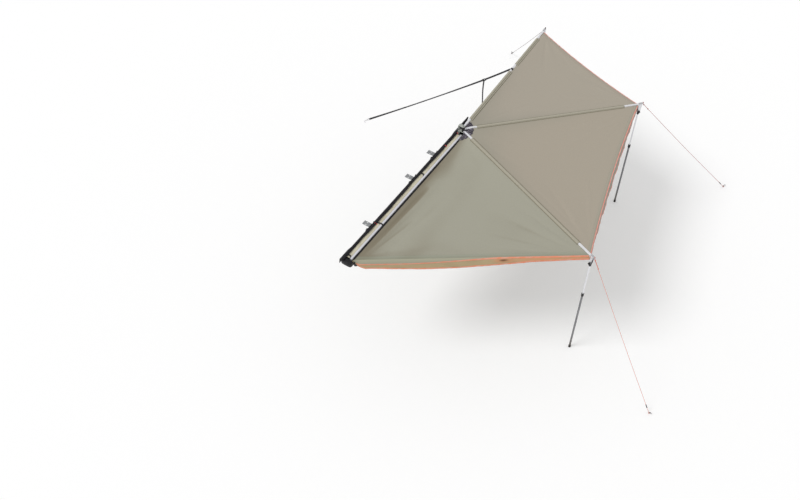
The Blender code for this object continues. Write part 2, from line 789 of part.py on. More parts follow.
def make_tip_bracket(number, frame):
    """Folded plate over the arm's end, with cheeks that hang down to the leg pivot.
    The frame is at the middle of the arm's end, upright."""
    inner = ARM_WIDTH / 2 + SIDE_PLAY
    outer = inner + TIP_PLATE
    under = ARM_HEIGHT / 2 + 0.0020
    top = under + TIP_PLATE
    low = -TIP_DROP - 0.020
    channel = [
        (outer, low), (outer, top - 0.002), (outer - 0.002, top),
        (0.002 - outer, top), (-outer, top - 0.002), (-outer, low),
        (-inner, low), (-inner, under), (inner, under), (inner, low),
    ]
    length = 2 * CHEEK_HALF_LENGTH + 0.004
    mesh = placed(flat_shape([channel], length), shift(0.002, 0, 0), ALONG_X)
    bracket = piece(f"tip_bracket_{number}", mesh, frame, "satin_steel", smooth=False)
    side = [(CHEEK_HALF_LENGTH + 0.004, top + 0.01), (-CHEEK_HALF_LENGTH, top + 0.01)]
    side += [(-CHEEK_HALF_LENGTH, -0.020)]
    side += arc(0, -TIP_DROP, SOCKET_RADIUS, 180, 360, 10)
    side += [(CHEEK_HALF_LENGTH + 0.004, -0.020)]
    tool(bracket, placed(flat_shape([side], 4 * outer), UPRIGHT), "INTERSECT")
    eye = rounded_rectangle(TIP_EYE_REACH - 0.010, 0.022, 0.009, 4)
    eye_middle = (TIP_EYE_REACH + 0.010) / 2
    eye_up = top - TIP_PLATE / 2
    tool(bracket, placed(flat_shape([eye], TIP_PLATE - 0.0004), shift(eye_middle, 0, eye_up)), "UNION")
    hole = rod(EYE_BORE, -0.01, 0.01, 12)
    tool(bracket, placed(hole, shift(TIP_EYE_REACH - EYE_EDGE, 0, eye_up)), "DIFFERENCE")
    bore = rod(PIVOT_RADIUS + GAP, -0.03, 0.03, 16)
    tool(bracket, placed(bore, shift(0, 0, -TIP_DROP), UPRIGHT), "DIFFERENCE")


def make_pivot_knob(number, frame):
    """Clamping bolt of the leg pivot with its hand knob. The frame's Y is the pivot's axis."""
    cheek = ARM_WIDTH / 2 + SIDE_PLAY + TIP_PLATE
    knob_face = cheek + SIDE_PLAY
    outline = lobed_outline(KNOB_RADIUS, 0.003, 5, 5)
    knob = placed(flat_shape([outline], KNOB_DEPTH), UPRIGHT, shift(0, 0, knob_face + KNOB_DEPTH / 2))
    item = piece(f"pivot_knob_{number}", knob, frame, "black_plastic")
    bolt = turned([
        (0, knob_face + 0.004), (PIVOT_RADIUS, knob_face + 0.004), (PIVOT_RADIUS, -knob_face),
        (0.0065, -knob_face), (0.0065, -knob_face - 0.005), (0, -knob_face - 0.005),
    ], steps=16)
    tool(item, placed(bolt, UPRIGHT), "UNION")


# Legs

def make_upper_leg(number, frame):
    """Moulded head on the pivot and the bright tube it holds."""
    half = ARM_WIDTH / 2 + SIDE_PLAY - GAP
    eye = placed(rod(HEAD_RADIUS, -half, half), UPRIGHT)
    head = piece(f"leg_head_{number}", eye, frame, "black_plastic")
    neck = block((-0.012, 0.0004 - half, SOCKET_TOP - 0.006), (0.012, half - 0.0004, 0))
    tool(head, neck, "UNION")
    socket = turned([
        (0, SOCKET_TOP), (SOCKET_RADIUS - 0.002, SOCKET_TOP), (SOCKET_RADIUS, SOCKET_TOP - 0.003),
        (SOCKET_RADIUS, SOCKET_LOW + 0.001), (SOCKET_RADIUS - 0.001, SOCKET_LOW), (0, SOCKET_LOW),
    ])
    tool(head, socket, "UNION")
    seat = SOCKET_TOP - 0.0045
    tool(head, rod(UPPER_TUBE_RADIUS + GAP, SOCKET_LOW - 0.01, seat + GAP), "DIFFERENCE")
    tool(head, placed(rod(PIVOT_RADIUS + GAP, -0.03, 0.03, 16), UPRIGHT), "DIFFERENCE")
    inner = UPPER_TUBE_RADIUS - TUBE_WALL
    tube = pipe(UPPER_TUBE_RADIUS, inner, seat - UPPER_TUBE_LENGTH, seat)
    piece(f"leg_upper_{number}", tube, frame, "aluminium")


def make_lower_leg(number, frame):
    """Lower tube, its rubber foot and the collar that grips the upper tube. The frame is on the ground."""
    bore = UPPER_TUBE_RADIUS + GAP
    tube = pipe(LOWER_TUBE_RADIUS, bore, FOOT_SOLE + GAP, LOWER_TUBE_TOP)
    piece(f"leg_lower_{number}", tube, frame, "dull_aluminium")

    cup = LOWER_TUBE_RADIUS + GAP
    foot = turned([
        (cup, FOOT_HEIGHT), (FOOT_RADIUS - 0.002, FOOT_HEIGHT), (FOOT_RADIUS - 0.001, FOOT_HEIGHT - 0.002),
        (FOOT_RADIUS - 0.001, 0.012), (FOOT_RADIUS, 0.008), (FOOT_RADIUS, 0.002),
        (FOOT_RADIUS - 0.002, 0), (0, 0),
    ] + [(0, FOOT_SOLE), (cup, FOOT_SOLE), (cup, FOOT_HEIGHT)])
    piece(f"foot_{number}", foot, frame, "black_rubber")


def make_collar(number, frame):
    """Fluted twist collar: a wide bore on the lower tube, a narrow one on the upper."""
    height = COLLAR_BELOW + COLLAR_ABOVE
    low = LOWER_TUBE_TOP - COLLAR_BELOW
    outline = lobed_outline(COLLAR_RADIUS, 0.0012, 12, 3)
    mesh = placed(flat_shape([outline], height), shift(0, 0, low + height / 2))
    collar = piece(f"leg_collar_{number}", mesh, frame, "black_plastic")
    step = LOWER_TUBE_TOP + GAP
    wide, narrow = LOWER_TUBE_RADIUS + GAP, UPPER_TUBE_RADIUS + GAP
    top = low + height + 0.01
    core = turned([(0, top), (narrow, top), (narrow, step), (wide, step), (wide, low - 0.01), (0, low - 0.01)])
    tool(collar, core, "DIFFERENCE")


# Canopy

def arm_direction(angle):
    turn = math.radians(angle)
    return Vector((-math.cos(turn), -math.sin(turn), 0))


def arm_level(number):
    return LOWEST_ARM_UP + (number - 2) * ARM_PITCH


def edge_line(number, side, radius):
    """Point beside an arm, or beside the rail for number 1, where a panel's edge runs.
    Side is +1 on the face toward the next arm and -1 on the other."""
    if number == 1:
        reach = RAIL_OUT - ARM_WIDTH / 2 - SIDE_PLAY
        return Vector((-radius, reach, PANEL_CASE_UP))
    angle = ARM_ANGLES[number]
    ahead = arm_direction(angle)
    across = Vector((-ahead.y, ahead.x, 0))
    half = ARM_WIDTH / 2 + SLEEVE_CLEARANCE + SLEEVE_WALL + SIDE_PLAY + CLOTH / 2
    place = ahead * radius + across * side * half
    place.z = arm_level(number) - radius * math.tan(ARM_DROOP)
    return place


def panel_point(number, u, v, out=0.0):
    """Point on the panel between an arm and the next: u across it, v from the hub to the hem."""
    hollow = EDGE_HOLLOW * 4 * u * (1 - u)
    start = PANEL_START * (1 + 0.25 * 4 * u * (1 - u))
    end = PANEL_END * (1 - hollow) + out
    radius = start + (end - start) * v
    a = edge_line(number, 1, radius)
    b = edge_line(number + 1, -1, radius)
    place = a.lerp(b, u)
    place.z -= PANEL_SAG * 4 * u * (1 - u) * math.sin(math.pi * v)
    return place


def valance_point(number, u, v):
    """Point on the strip that hangs from the panel's outer edge, gathered into shallow waves."""
    place = panel_point(number, u, 1)
    outward = Vector((place.x, place.y, 0)).normalized()
    middle = math.sin(math.pi * u)
    drop = VALANCE_DROP * v * (0.82 + 0.18 * min(1.0, middle * 4))
    if number == 1:
        drop *= min(1.0, 0.15 + u * 16)
    wave = 0.005 * math.sin(u * 46) * min(1.0, middle * 6)
    return place + outward * v * (0.004 + wave + 0.006 * middle) - Vector((0, 0, drop))


def make_panel(number):
    """One cloth of the fan, with the valance that hangs along its outer hem."""
    columns, rows, hem_rows = 18, 9, 2

    def surface(u, v):
        row = v * (rows + hem_rows)
        if row <= rows + 0.001:
            return panel_point(number, u, row / rows)
        return valance_point(number, u, (row - rows) / hem_rows)

    sheet(f"panel_{number}", surface, columns, rows + hem_rows, CLOTH, CASE, "olive_cloth")


# Guy ropes

def make_guy(number, frame):
    """Rope from the tip bracket's eye to its peg. The frame is at the arm's end, X outward."""
    ground = GROUND - frame.matrix_world.translation.z + HUB.z
    outward, sideways = GUY_PEGS[number]
    flat = Vector((outward, sideways, 0)).normalized()
    eye_up = ARM_HEIGHT / 2 + 0.0020 + TIP_PLATE / 2
    eye_top = eye_up + TIP_PLATE / 2
    knot_top = Vector((TIP_EYE_REACH - EYE_EDGE, 0, eye_top + KNOT_HEIGHT * 0.7))
    start = knot_top - Vector((0, 0, KNOT_HEIGHT + 0.012))
    peg_foot = Vector((outward, sideways, ground))
    shaft = (flat * math.sin(PEG_LEAN) + Vector((0, 0, math.cos(PEG_LEAN))))
    tie = peg_foot + shaft * (PEG_ABOVE * 0.45)
    end = tie - flat * (PEG_RADIUS + ROPE_RADIUS * 0.6)
    run = (end - start).normalized()
    sag = Vector((0, 0, -0.012))
    route = [start, start.lerp(end, 0.5) + sag, end]
    points = [knot_top] + smooth_route(route, 14)
    rope = piece(f"guy_rope_{number}", cord_mesh(points, ROPE_RADIUS, 1), frame, "orange_cord")
    knot = turned([
        (0, KNOT_HEIGHT), (KNOT_RADIUS * 0.6, KNOT_HEIGHT), (KNOT_RADIUS, KNOT_HEIGHT * 0.6),
        (KNOT_RADIUS, KNOT_HEIGHT * 0.3), (KNOT_RADIUS * 0.8, 0), (0, 0),
    ], steps=10)
    tool(rope, placed(knot, shift(knot_top.x, 0, eye_top + GAP)), "UNION")

    hook = PEG_RADIUS * 2.6
    top = peg_foot + shaft * PEG_ABOVE
    across = flat.cross(Vector((0, 0, 1)))
    lean = across.cross(shaft).normalized()
    if lean.dot(flat) < 0:
        lean = -lean
    bend = []
    for i in range(1, 8):
        angle = math.radians(165 * i / 7)
        bend.append(top + lean * hook * (1 - math.cos(angle)) + shaft * hook * math.sin(angle))
    peg_points = [peg_foot - shaft * PEG_DEPTH, peg_foot, top] + bend
    piece(f"peg_{number}", cord_mesh(peg_points, PEG_RADIUS, 1), frame, "dark_steel")

    half = TENSIONER_LENGTH / 2
    body = turned([
        (0, half), (0.0055, half), (0.0065, half - 0.003), (0.0065, half - 0.008),
        (0.0048, half - 0.014), (0.0048, 0.014 - half), (0.0065, 0.008 - half),
        (0.0065, 0.003 - half), (0.0055, -half), (0, -half),
    ], steps=12)
    place = end - run * TENSIONER_FROM_PEG
    near = min(range(len(points)), key=lambda i: (points[i] - place).length)
    near = min(max(near, 1), len(points) - 2)
    along = (points[near + 1] - points[near]).normalized()
    middle = (points[near + 1] + points[near]) / 2
    turn = along.to_track_quat("Z", "Y").to_matrix().to_4x4()
    tool(rope, placed(body, Matrix.Translation(middle), turn), "UNION")


# Webbing strap

def webbing(name, start, end, parent, sag):
    """Flat run of webbing between two places, lying level across its width."""
    run = end - start
    side = Vector((0, 0, 1)).cross(run).normalized() * STRAP_WIDTH / 2

    def surface(u, v):
        place = start + run * v + side * (2 * u - 1)
        place.z -= sag * 4 * v * (1 - v)
        return place

    sheet(name, surface, 1, 14, STRAP_THICK, parent, "black_webbing")


def flat_bar(start, end, width, thickness):
    """Straight flat bar between two places, level across its width."""
    run = end - start
    ahead = run.normalized()
    side = Vector((0, 0, 1)).cross(ahead).normalized()
    turn = Matrix((ahead, side, ahead.cross(side))).transposed().to_4x4()
    bar = block((0, -width / 2, -thickness / 2), (run.length, width / 2, thickness / 2))
    return placed(bar, Matrix.Translation(start), turn)


def make_strap(frame):
    """Loop round the last arm, a short run to the buckle, a long run to the hook and a loose tail."""
    tilt = Matrix.Rotation(ARM_DROOP, 4, "Y")
    inner_w = ARM_WIDTH + 2 * SLEEVE_CLEARANCE
    inner_h = ARM_HEIGHT + 2 * SLEEVE_CLEARANCE
    loop_width = STRAP_WIDTH + 0.004
    ring = box_tube(inner_w + 2 * STRAP_THICK, inner_h + 2 * STRAP_THICK, STRAP_THICK, 0.004, loop_width)
    ring = placed(ring, tilt, shift(STRAP_ON_ARM - loop_width / 2, 0, 0))
    loop_up = -STRAP_ON_ARM * math.tan(ARM_DROOP) - 0.001
    loop_side = Vector((STRAP_ON_ARM, inner_w / 2 + STRAP_THICK * 0.4, loop_up))

    end_gap = BUCKLE_LENGTH / 2 + GAP
    toward_arm = (loop_side - BUCKLE_AT).normalized()
    toward_hook = (HOOK_AT - BUCKLE_AT).normalized()
    skew = toward_arm.cross(toward_hook).length * STRAP_WIDTH / 2
    short_end = BUCKLE_AT + toward_arm * (end_gap + skew)
    long_start = BUCKLE_AT + toward_hook * end_gap
    loop = piece("strap_short", ring, frame, "black_webbing")
    tool(loop, flat_bar(loop_side, short_end, STRAP_WIDTH, STRAP_THICK), "UNION")
    reach = STRAP_WIDTH * 2
    bore = block((STRAP_ON_ARM - reach, -inner_w / 2, -inner_h / 2), (STRAP_ON_ARM + reach, inner_w / 2, inner_h / 2))
    tool(loop, placed(bore, tilt), "DIFFERENCE")

    hook_gap = 0.020
    webbing("strap_long", long_start, HOOK_AT - toward_hook * hook_gap, frame, 0.012)

    tail_top = BUCKLE_AT - Vector((0, 0, BUCKLE_THICK / 2 + GAP))
    side = Vector((0, 0, 1)).cross(toward_hook).normalized() * STRAP_WIDTH / 2

    def hanging(u, v):
        sway = toward_hook * 0.006 * math.sin(v * 5)
        return tail_top + side * (2 * u - 1) + sway - Vector((0, 0, TAIL_LENGTH * v))

    sheet("strap_tail", hanging, 1, 10, STRAP_THICK, frame, "black_webbing")

    along = math.atan2(toward_hook.y, toward_hook.x)
    tip = math.asin(-toward_hook.z)
    turn = Matrix.Rotation(along, 4, "Z") @ Matrix.Rotation(tip, 4, "Y")
    body = rounded_rectangle(BUCKLE_LENGTH, BUCKLE_WIDTH, 0.005, 3)
    slots = []
    for place in (-0.012, 0.012):
        slot = rounded_rectangle(0.007, STRAP_WIDTH + 0.002, 0.002, 2)
        slots.append([(x + place, y) for x, y in slot])
    buckle = flat_shape([body] + slots, BUCKLE_THICK)
    piece("strap_buckle", placed(buckle, Matrix.Translation(BUCKLE_AT), turn), frame, "black_plastic")

    start_x = HOOK_WIRE + GAP - hook_gap
    wire = []
    corner = 0.006
    for side_y, angles in ((-1, (270, 180)), (1, (180, 90))):
        centre_y = side_y * (STRAP_WIDTH / 2 - corner)
        for x, y in arc(start_x + corner, centre_y, corner, angles[0], angles[1], 4):
            wire.append(Vector((x, y, 0)))
    throat = Vector((0.016, 0, 0))
    wire = [throat + Vector((0, -0.0045, 0))] + wire + [throat + Vector((0, 0.0045, 0))]
    wire.append(throat + Vector((0.018, 0.002, 0)))
    for x, z in arc(0.034, -0.016, 0.016, 90, -80, 8):
        wire.append(Vector((x, 0.0, z)))
    hook = cord_mesh(wire, HOOK_WIRE, 1)
    piece("strap_hook", placed(hook, Matrix.Translation(HOOK_AT), turn), frame, "satin_steel")


# Build

clear_scene()
PARTS = new_collection("side_awning")
CUTTERS = new_collection("cutters")
MATERIALS = {
    "aluminium": material("aluminium", (0.78, 0.78, 0.79), 0.32, 1.0),
    "dull_aluminium": material("dull_aluminium", (0.45, 0.45, 0.45), 0.45, 1.0),
    "extrusion": material("extrusion", (0.60, 0.60, 0.60), 0.4, 1.0),
    "satin_steel": material("satin_steel", (0.70, 0.70, 0.71), 0.35, 1.0),
    "zinc_steel": material("zinc_steel", (0.58, 0.58, 0.60), 0.4, 1.0),
    "dark_steel": material("dark_steel", (0.12, 0.11, 0.12), 0.5, 0.6),
    "grey_paint": material("grey_paint", (0.50, 0.52, 0.53), 0.5),
    "black_casting": material("black_casting", (0.03, 0.03, 0.035), 0.55),
    "black_plastic": material("black_plastic", (0.02, 0.02, 0.02), 0.5),
    "black_rubber": material("black_rubber", (0.02, 0.02, 0.02), 0.8),
    "black_pvc": material("black_pvc", (0.016, 0.016, 0.02), 0.5),
    "black_webbing": material("black_webbing", (0.015, 0.015, 0.015), 0.85),
    "white_nylon": material("white_nylon", (0.75, 0.74, 0.70), 0.5),
    "pale_cloth": material("pale_cloth", (0.46, 0.42, 0.36), 0.9),
    "olive_cloth": material("olive_cloth", (0.33, 0.31, 0.26), 0.9),
    "khaki_cloth": material("khaki_cloth", (0.33, 0.24, 0.13), 0.9),
    "orange_cord": material("orange_cord", (0.75, 0.20, 0.10), 0.7),
}

CASE = frame_empty("hub_axis", None, Matrix.Translation(HUB))

make_backboard()
make_rail()
make_liner()
make_bag_body()
make_bag_lid()
make_bag_ends()
make_roof_brackets()
make_hub_bracket()
make_hinge_pin()
make_hinge_washers()

for arm in ARM_ANGLES:
    turn = Matrix.Rotation(math.radians(ARM_ANGLES[arm] + 180), 4, "Z")
    arm_axis = frame_empty(f"arm_{arm}_axis", CASE, shift(0, 0, arm_level(arm)) @ turn)
    make_arm(arm, arm_axis)
    tip_down = TIP_RADIUS * math.tan(ARM_DROOP)
    tip_frame = frame_empty(f"tip_{arm}", arm_axis, shift(TIP_RADIUS, 0, -tip_down))
    make_tip_bracket(arm, tip_frame)
    pivot = frame_empty(f"leg_{arm}_axis", tip_frame, shift(0, 0, -TIP_DROP))
    make_pivot_knob(arm, pivot)
    make_upper_leg(arm, pivot)
    leg_drop = arm_level(arm) - tip_down - TIP_DROP - GROUND
    ground_frame = frame_empty(f"foot_{arm}_axis", pivot, shift(0, 0, -leg_drop))
    make_lower_leg(arm, ground_frame)
    make_collar(arm, ground_frame)
    bpy.context.view_layer.update()
    make_guy(arm, tip_frame)
    if arm == 4:
        make_strap(arm_axis)

for panel in (1, 2, 3):
    make_panel(panel)
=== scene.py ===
import math

import bmesh
import bpy
import numpy as np
from mathutils import Matrix, Vector, noise


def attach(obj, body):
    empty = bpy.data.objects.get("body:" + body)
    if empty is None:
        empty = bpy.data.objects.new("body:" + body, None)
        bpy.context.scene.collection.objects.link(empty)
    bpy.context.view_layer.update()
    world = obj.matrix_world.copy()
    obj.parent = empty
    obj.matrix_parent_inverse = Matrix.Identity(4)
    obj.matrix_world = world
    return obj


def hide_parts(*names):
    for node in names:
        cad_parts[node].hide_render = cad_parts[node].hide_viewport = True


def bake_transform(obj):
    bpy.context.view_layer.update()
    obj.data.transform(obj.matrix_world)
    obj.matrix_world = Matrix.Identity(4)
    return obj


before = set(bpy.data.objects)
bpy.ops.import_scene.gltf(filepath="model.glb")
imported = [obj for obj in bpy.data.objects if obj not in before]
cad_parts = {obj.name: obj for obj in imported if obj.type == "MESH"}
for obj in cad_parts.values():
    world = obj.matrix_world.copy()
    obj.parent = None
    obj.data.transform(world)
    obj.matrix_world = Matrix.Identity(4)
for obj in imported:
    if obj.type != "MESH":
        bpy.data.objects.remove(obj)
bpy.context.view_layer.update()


# Studio: a pale floor under the feet of the legs, one broad soft lamp high on the left, an even pale
# sky, and the camera above the front corner of the case. The floor shows nearly white and keeps the
# awning's own soft shadow.

class Value:
    """A number that changes over a surface: Python's operators on it add Math nodes."""

    def __init__(self, graph, socket):
        self.graph, self.socket = graph, socket

    def __add__(self, other):
        return self.graph.math("ADD", self, other)

    def __sub__(self, other):
        return self.graph.math("SUBTRACT", self, other)

    def __rsub__(self, other):
        return self.graph.math("SUBTRACT", other, self)

    def __mul__(self, other):
        return self.graph.math("MULTIPLY", self, other)

    def __pow__(self, other):
        return self.graph.math("POWER", self, other)

    __radd__ = __add__
    __rmul__ = __mul__


class Graph:
    """A tree of shader nodes, in which every value can feed a socket."""

    def __init__(self, tree):
        self.tree = tree

    def feed(self, socket, value):
        if isinstance(value, Value):
            self.tree.links.new(value.socket, socket)
        else:
            socket.default_value = value

    def node(self, kind, settings, inputs, output=0):
        """Adds one node, its settings first and then what goes into its sockets, and gives one output."""
        made = self.tree.nodes.new("ShaderNode" + kind)
        for name, value in settings.items():
            setattr(made, name, value)
        for socket, value in inputs.items():
            self.feed(made.inputs[socket], value)
        return Value(self, made.outputs[output])

    def math(self, operation, first, second=0.0):
        return self.node("Math", {"operation": operation}, {0: first, 1: second})


def paint(red, green, blue):
    """A colour as the eye reads it, 0 to 255, in the shader's own values."""
    return tuple(((c / 255 + 0.055) / 1.055) ** 2.4 for c in (red, green, blue)) + (1.0,)


class Finish(Graph):
    """One material of the awning and the nodes that it is made of."""

    def __init__(self, name, **plain):
        self.material = bpy.data.materials.new(name)
        self.material.use_nodes = True
        super().__init__(self.material.node_tree)
        self.shader = self.tree.nodes["Principled BSDF"]
        for socket, value in plain.items():
            self.shader.inputs[socket.replace("_", " ").title().replace("Ior", "IOR")].default_value = value

    def place(self):
        """The piece's own place in metres, in the frame."""
        return self.node("TexCoord", {}, {}, "Object")

    def split(self, vector):
        made = self.tree.nodes.new("ShaderNodeSeparateXYZ")
        self.feed(made.inputs[0], vector)
        return [Value(self, socket) for socket in made.outputs]

    def on_cut(self):
        """A place on the cut of cloth or cord, in metres, and its way across and along."""
        cut = self.node("UVMap", {"uv_map": "cut"}, {})
        return (cut, *self.split(cut)[:2])

    def wave(self, value, length):
        """Rises and falls between -1 and 1 once in each length."""
        return self.math("SINE", value * (2 * math.pi / length))

    def weave(self, across, along, length):
        return self.wave(across, length) * self.wave(along, length)

    def step(self, value, low, high):
        """0 below low, 1 above high and a soft turn between them."""
        return self.node("MapRange", {"interpolation_type": "SMOOTHSTEP"},
                         {"Value": value, "From Min": low, "From Max": high})

    def cloud(self, at, scale, detail, soft=None, stretch=(1, 1, 1), turn=0.0):
        """Soft noise with so many lumps in a metre, stepped, drawn out and turned if asked."""
        moved = self.node("Mapping", {"vector_type": "TEXTURE"}, {
            "Vector": at, "Rotation": (0, 0, turn), "Scale": stretch})
        lumps = self.node("TexNoise", {}, {"Vector": moved, "Scale": scale, "Detail": detail}, "Fac")
        return self.step(lumps, *soft) if soft else lumps

    def mix(self, share, first, second):
        """A colour between two, each made before or given as the eye reads it."""
        first, second = (paint(*c) if isinstance(c, tuple) else c for c in (first, second))
        return self.node("Mix", {"data_type": "RGBA"}, {0: share, 6: first, 7: second}, 2)

    def relief(self, height, depth):
        """The surface stands up by that height, 0 to 1, times depth in metres."""
        self.feed(self.shader.inputs["Normal"], self.node("Bump", {}, {"Height": height, "Distance": depth}))

    def finish(self, colour, roughness):
        self.feed(self.shader.inputs["Base Color"], colour)
        self.feed(self.shader.inputs["Roughness"], roughness)


def shown(name, data):
    item = bpy.data.objects.new(name, data)
    bpy.context.scene.collection.objects.link(item)
    return item


white = (1, 1, 1, 1)
ground, floor_half = -1.91, 60
floor_mesh = bpy.data.meshes.new("floor")
corners = ((-1, -1), (1, -1), (1, 1), (-1, 1))
floor_mesh.from_pydata([(floor_half * a, floor_half * b, ground) for a, b in corners], [], [(0, 1, 2, 3)])
pale = Finish("pale_floor", roughness=1.0, base_color=paint(232, 232, 232), specular_ior_level=0.0,
              emission_color=white)
rays = [pale.node("LightPath", {}, {}, f"Is {kind} Ray") for kind in ("Camera", "Glossy", "Transmission")]
glow = pale.node("Emission", {}, {"Color": white, "Strength": (rays[0] + rays[1] + rays[2]) * 0.22})
both = pale.node("AddShader", {}, {0: Value(pale, pale.shader.outputs[0]), 1: glow})
pale.feed(pale.tree.nodes["Material Output"].inputs["Surface"], both)
floor_mesh.materials.append(pale.material)
shown("floor", floor_mesh)

sky = bpy.data.worlds.new("pale_sky")
sky.use_nodes = True
air = Graph(sky.node_tree)
light = air.tree.nodes["Background"]
light.inputs["Color"].default_value = white
light.inputs["Strength"].default_value = 0.62
behind = air.node("Background", {}, {"Color": white, "Strength": 1.0})
to_camera = air.node("LightPath", {}, {}, "Is Camera Ray")
either = air.node("MixShader", {}, {"Fac": to_camera, 1: Value(air, light.outputs[0]), 2: behind})
air.feed(air.tree.nodes["World Output"].inputs["Surface"], either)
bpy.context.scene.world = sky

lamp = bpy.data.lights.new("soft_lamp", "SUN")
lamp.energy, lamp.angle = 1.35, math.radians(24)
shown("soft_lamp", lamp).rotation_euler = Vector((-0.55, 0.42, 0.95)).to_track_quat("Z", "Y").to_euler()

yaw, pitch, roll = (math.radians(a) for a in (-55.882, 51.0525, -0.547))
ahead = Vector((-math.sin(yaw) * math.cos(pitch), math.cos(yaw) * math.cos(pitch), -math.sin(pitch)))
right = ahead.cross(Vector((0, 0, 1))).normalized()
above = right.cross(ahead)
turned_right = right * math.cos(roll) + above * math.sin(roll)
turned_up = above * math.cos(roll) - right * math.sin(roll)
lens = bpy.data.cameras.new("camera")
lens.lens, lens.sensor_width, lens.clip_end = 41.047, 36, 200
camera = shown("camera", lens)
camera.matrix_world = Matrix.Translation((-6.4255, -4.2145, 8.0816)) @ Matrix(
    (turned_right, turned_up, -ahead)).transposed().to_4x4()
bpy.context.scene.camera = camera
bpy.context.scene.view_settings.view_transform = "Standard"


# Case: one aluminium extrusion that stands along the roof bars. It is plain from the press, with the
# die's fine lines along it and a dull, slightly blotched skin.

def dress(finish, *names):
    """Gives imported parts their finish."""
    for name in names:
        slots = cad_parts[name].data.materials
        slots.clear()
        slots.append(finish.material)


def worn_finish(name, colours, grain, wear, rough, depth, share=0.0, **plain):
    """A finish with a fine grain in its relief and slow wear in its colour.

    grain and wear are what cloud takes after the place: lumps in a metre, detail, step, stretch and
    turn. rough is the roughness, then what grain and wear add to it. depth is the relief's height in
    metres, and share says how much of the colour follows the grain.
    """
    made = Finish(name, **plain)
    at = made.place()
    fine = made.cloud(at, *grain)
    slow = made.cloud(at, *wear) if wear else fine
    colour = made.mix(fine * share + slow * (1 - share), *colours)
    made.finish(colour, rough[0] + fine * rough[1] + slow * rough[2])
    made.relief(fine, depth)
    return made


dress(worn_finish("extruded_aluminium", ((150, 151, 153), (188, 188, 190)), (900, 2, None, (60, 1, 1)),
                  (9, 4), (0.34, 0.2, 0), 0.00012, metallic=1.0), "backboard")


# Rail and arms: satin anodised rectangular tube. The fixed rail stands on three welded saddles in the
# case, and the three arms turn on the hub's pin, one over the other. Each tube shows the fine lines
# of its own length.

hub = np.array((1.0, -0.165, 0.070))
arm_angles = {2: 68.85, 3: 136.98, 4: 182.82}
arm_levels = {2: -0.012, 3: 0.015, 4: 0.042}
droop = math.tan(math.radians(2.36))


def anodised(name, angle, dark, light):
    return worn_finish(name, (dark, light), (1100, 2, None, (80, 1, 1), math.radians(angle)), (14, 4),
                       (0.26, 0.12, 0.12), 0.00006, share=0.5, metallic=0.5)


dress(anodised("rail_aluminium", 0, (214, 214, 221), (238, 238, 243)), "arm_1_rail")
for number, angle in arm_angles.items():
    dress(anodised(f"arm_aluminium_{number}", angle, (232, 232, 237), (250, 250, 252)), f"arm_{number}")


# Roof brackets: zinc plated steel angles with two long slots each for the bolts of a roof bar, and two
# bolts into the back of the case. Zinc shows faint crystals and rubs bright.

zinc = Finish("zinc_plate", metallic=1.0)
where = zinc.place()
crystal = zinc.split(zinc.node("TexVoronoi", {}, {"Vector": where, "Scale": 260.0}, "Color"))[0]
rubbed = zinc.cloud(where, 45, 4)
zinc.finish(zinc.mix(crystal * 0.5 + rubbed * 0.5, (142, 145, 150), (196, 197, 196)),
            0.28 + crystal * 0.14 + rubbed * 0.12)
zinc.relief(crystal, 0.00004)
dress(zinc, "roof_bracket_1", "roof_bracket_2", "roof_bracket_3", "hinge_pin")


# Hub bracket: welded from plate and painted light grey. The paint has a fine orange peel, and its
# colour is chalky where hands and cloth have rubbed it. Nylon washers keep the knuckles apart.

dress(worn_finish("grey_enamel", ((160, 164, 158), (192, 195, 188)), (700, 2), (38, 5, (0.42, 0.7)),
                  (0.34, 0, 0.25), 0.00012, specular_ior_level=0.4), "hub_bracket")
dress(worn_finish("white_nylon", ((214, 211, 203), (236, 234, 228)), (1500, 1), (120, 3), (0.42, 0, 0.1),
                  0.00003, subsurface_weight=0.1), "hinge_washer_2", "hinge_washer_3", "hinge_washer_4")


# Mouldings: the knuckles, leg heads, collars and hand knobs are glass-filled nylon, moulded black, with
# a spark-eroded grain that is polished grey on the places that are gripped. A bright aluminium sleeve
# covers each knuckle's tongue.

def moulded(name, colours, grain_size):
    return worn_finish(name, colours, (grain_size, 2), (60, 5, (0.5, 0.78)), (0.5, 0.12, -0.14), 0.00022,
                       specular_ior_level=0.45)


plastic = moulded("black_plastic", ((22, 21, 24), (48, 47, 50)), 1900)
casting = moulded("black_casting", ((38, 37, 40), (68, 67, 70)), 1400)
x, y, _ = casting.split(casting.place())
x, y = x - float(hub[0]), y - float(hub[1])
sleeve = casting.step(casting.math("SQRT", x * x + y * y), 0.0215, 0.0235)
coloured = casting.shader.inputs["Base Color"]
casting.feed(coloured, casting.mix(sleeve, Value(casting, coloured.links[0].from_socket), (236, 236, 241)))
casting.feed(casting.shader.inputs["Metallic"], sleeve * 0.5)
dress(plastic, "strap_buckle")
for number in arm_angles:
    dress(casting, f"knuckle_{number}")
    dress(plastic, f"pivot_knob_{number}", f"leg_head_{number}", f"leg_collar_{number}")


# Tip brackets: folded from satin steel plate over the end of each arm, with two cheeks that hold the
# leg's pivot and an eye for the guy rope. The strap's wire hook has the same finish.

def brushed(name, angle):
    return worn_finish(f"satin_steel_{name}", ((205, 205, 208), (228, 228, 230)),
                       (1300, 2, None, (40, 1, 1), math.radians(angle)), (70, 4), (0.24, 0.2, 0), 0.00004,
                       metallic=1.0)


for number, angle in arm_angles.items():
    dress(brushed(number, angle), f"tip_bracket_{number}")
dress(brushed("hook", 140), "strap_hook")


# Legs: a bright upper tube that hangs from each tip, and a duller lower tube that slides over it, with
# scuffs and earth toward the rubber foot.

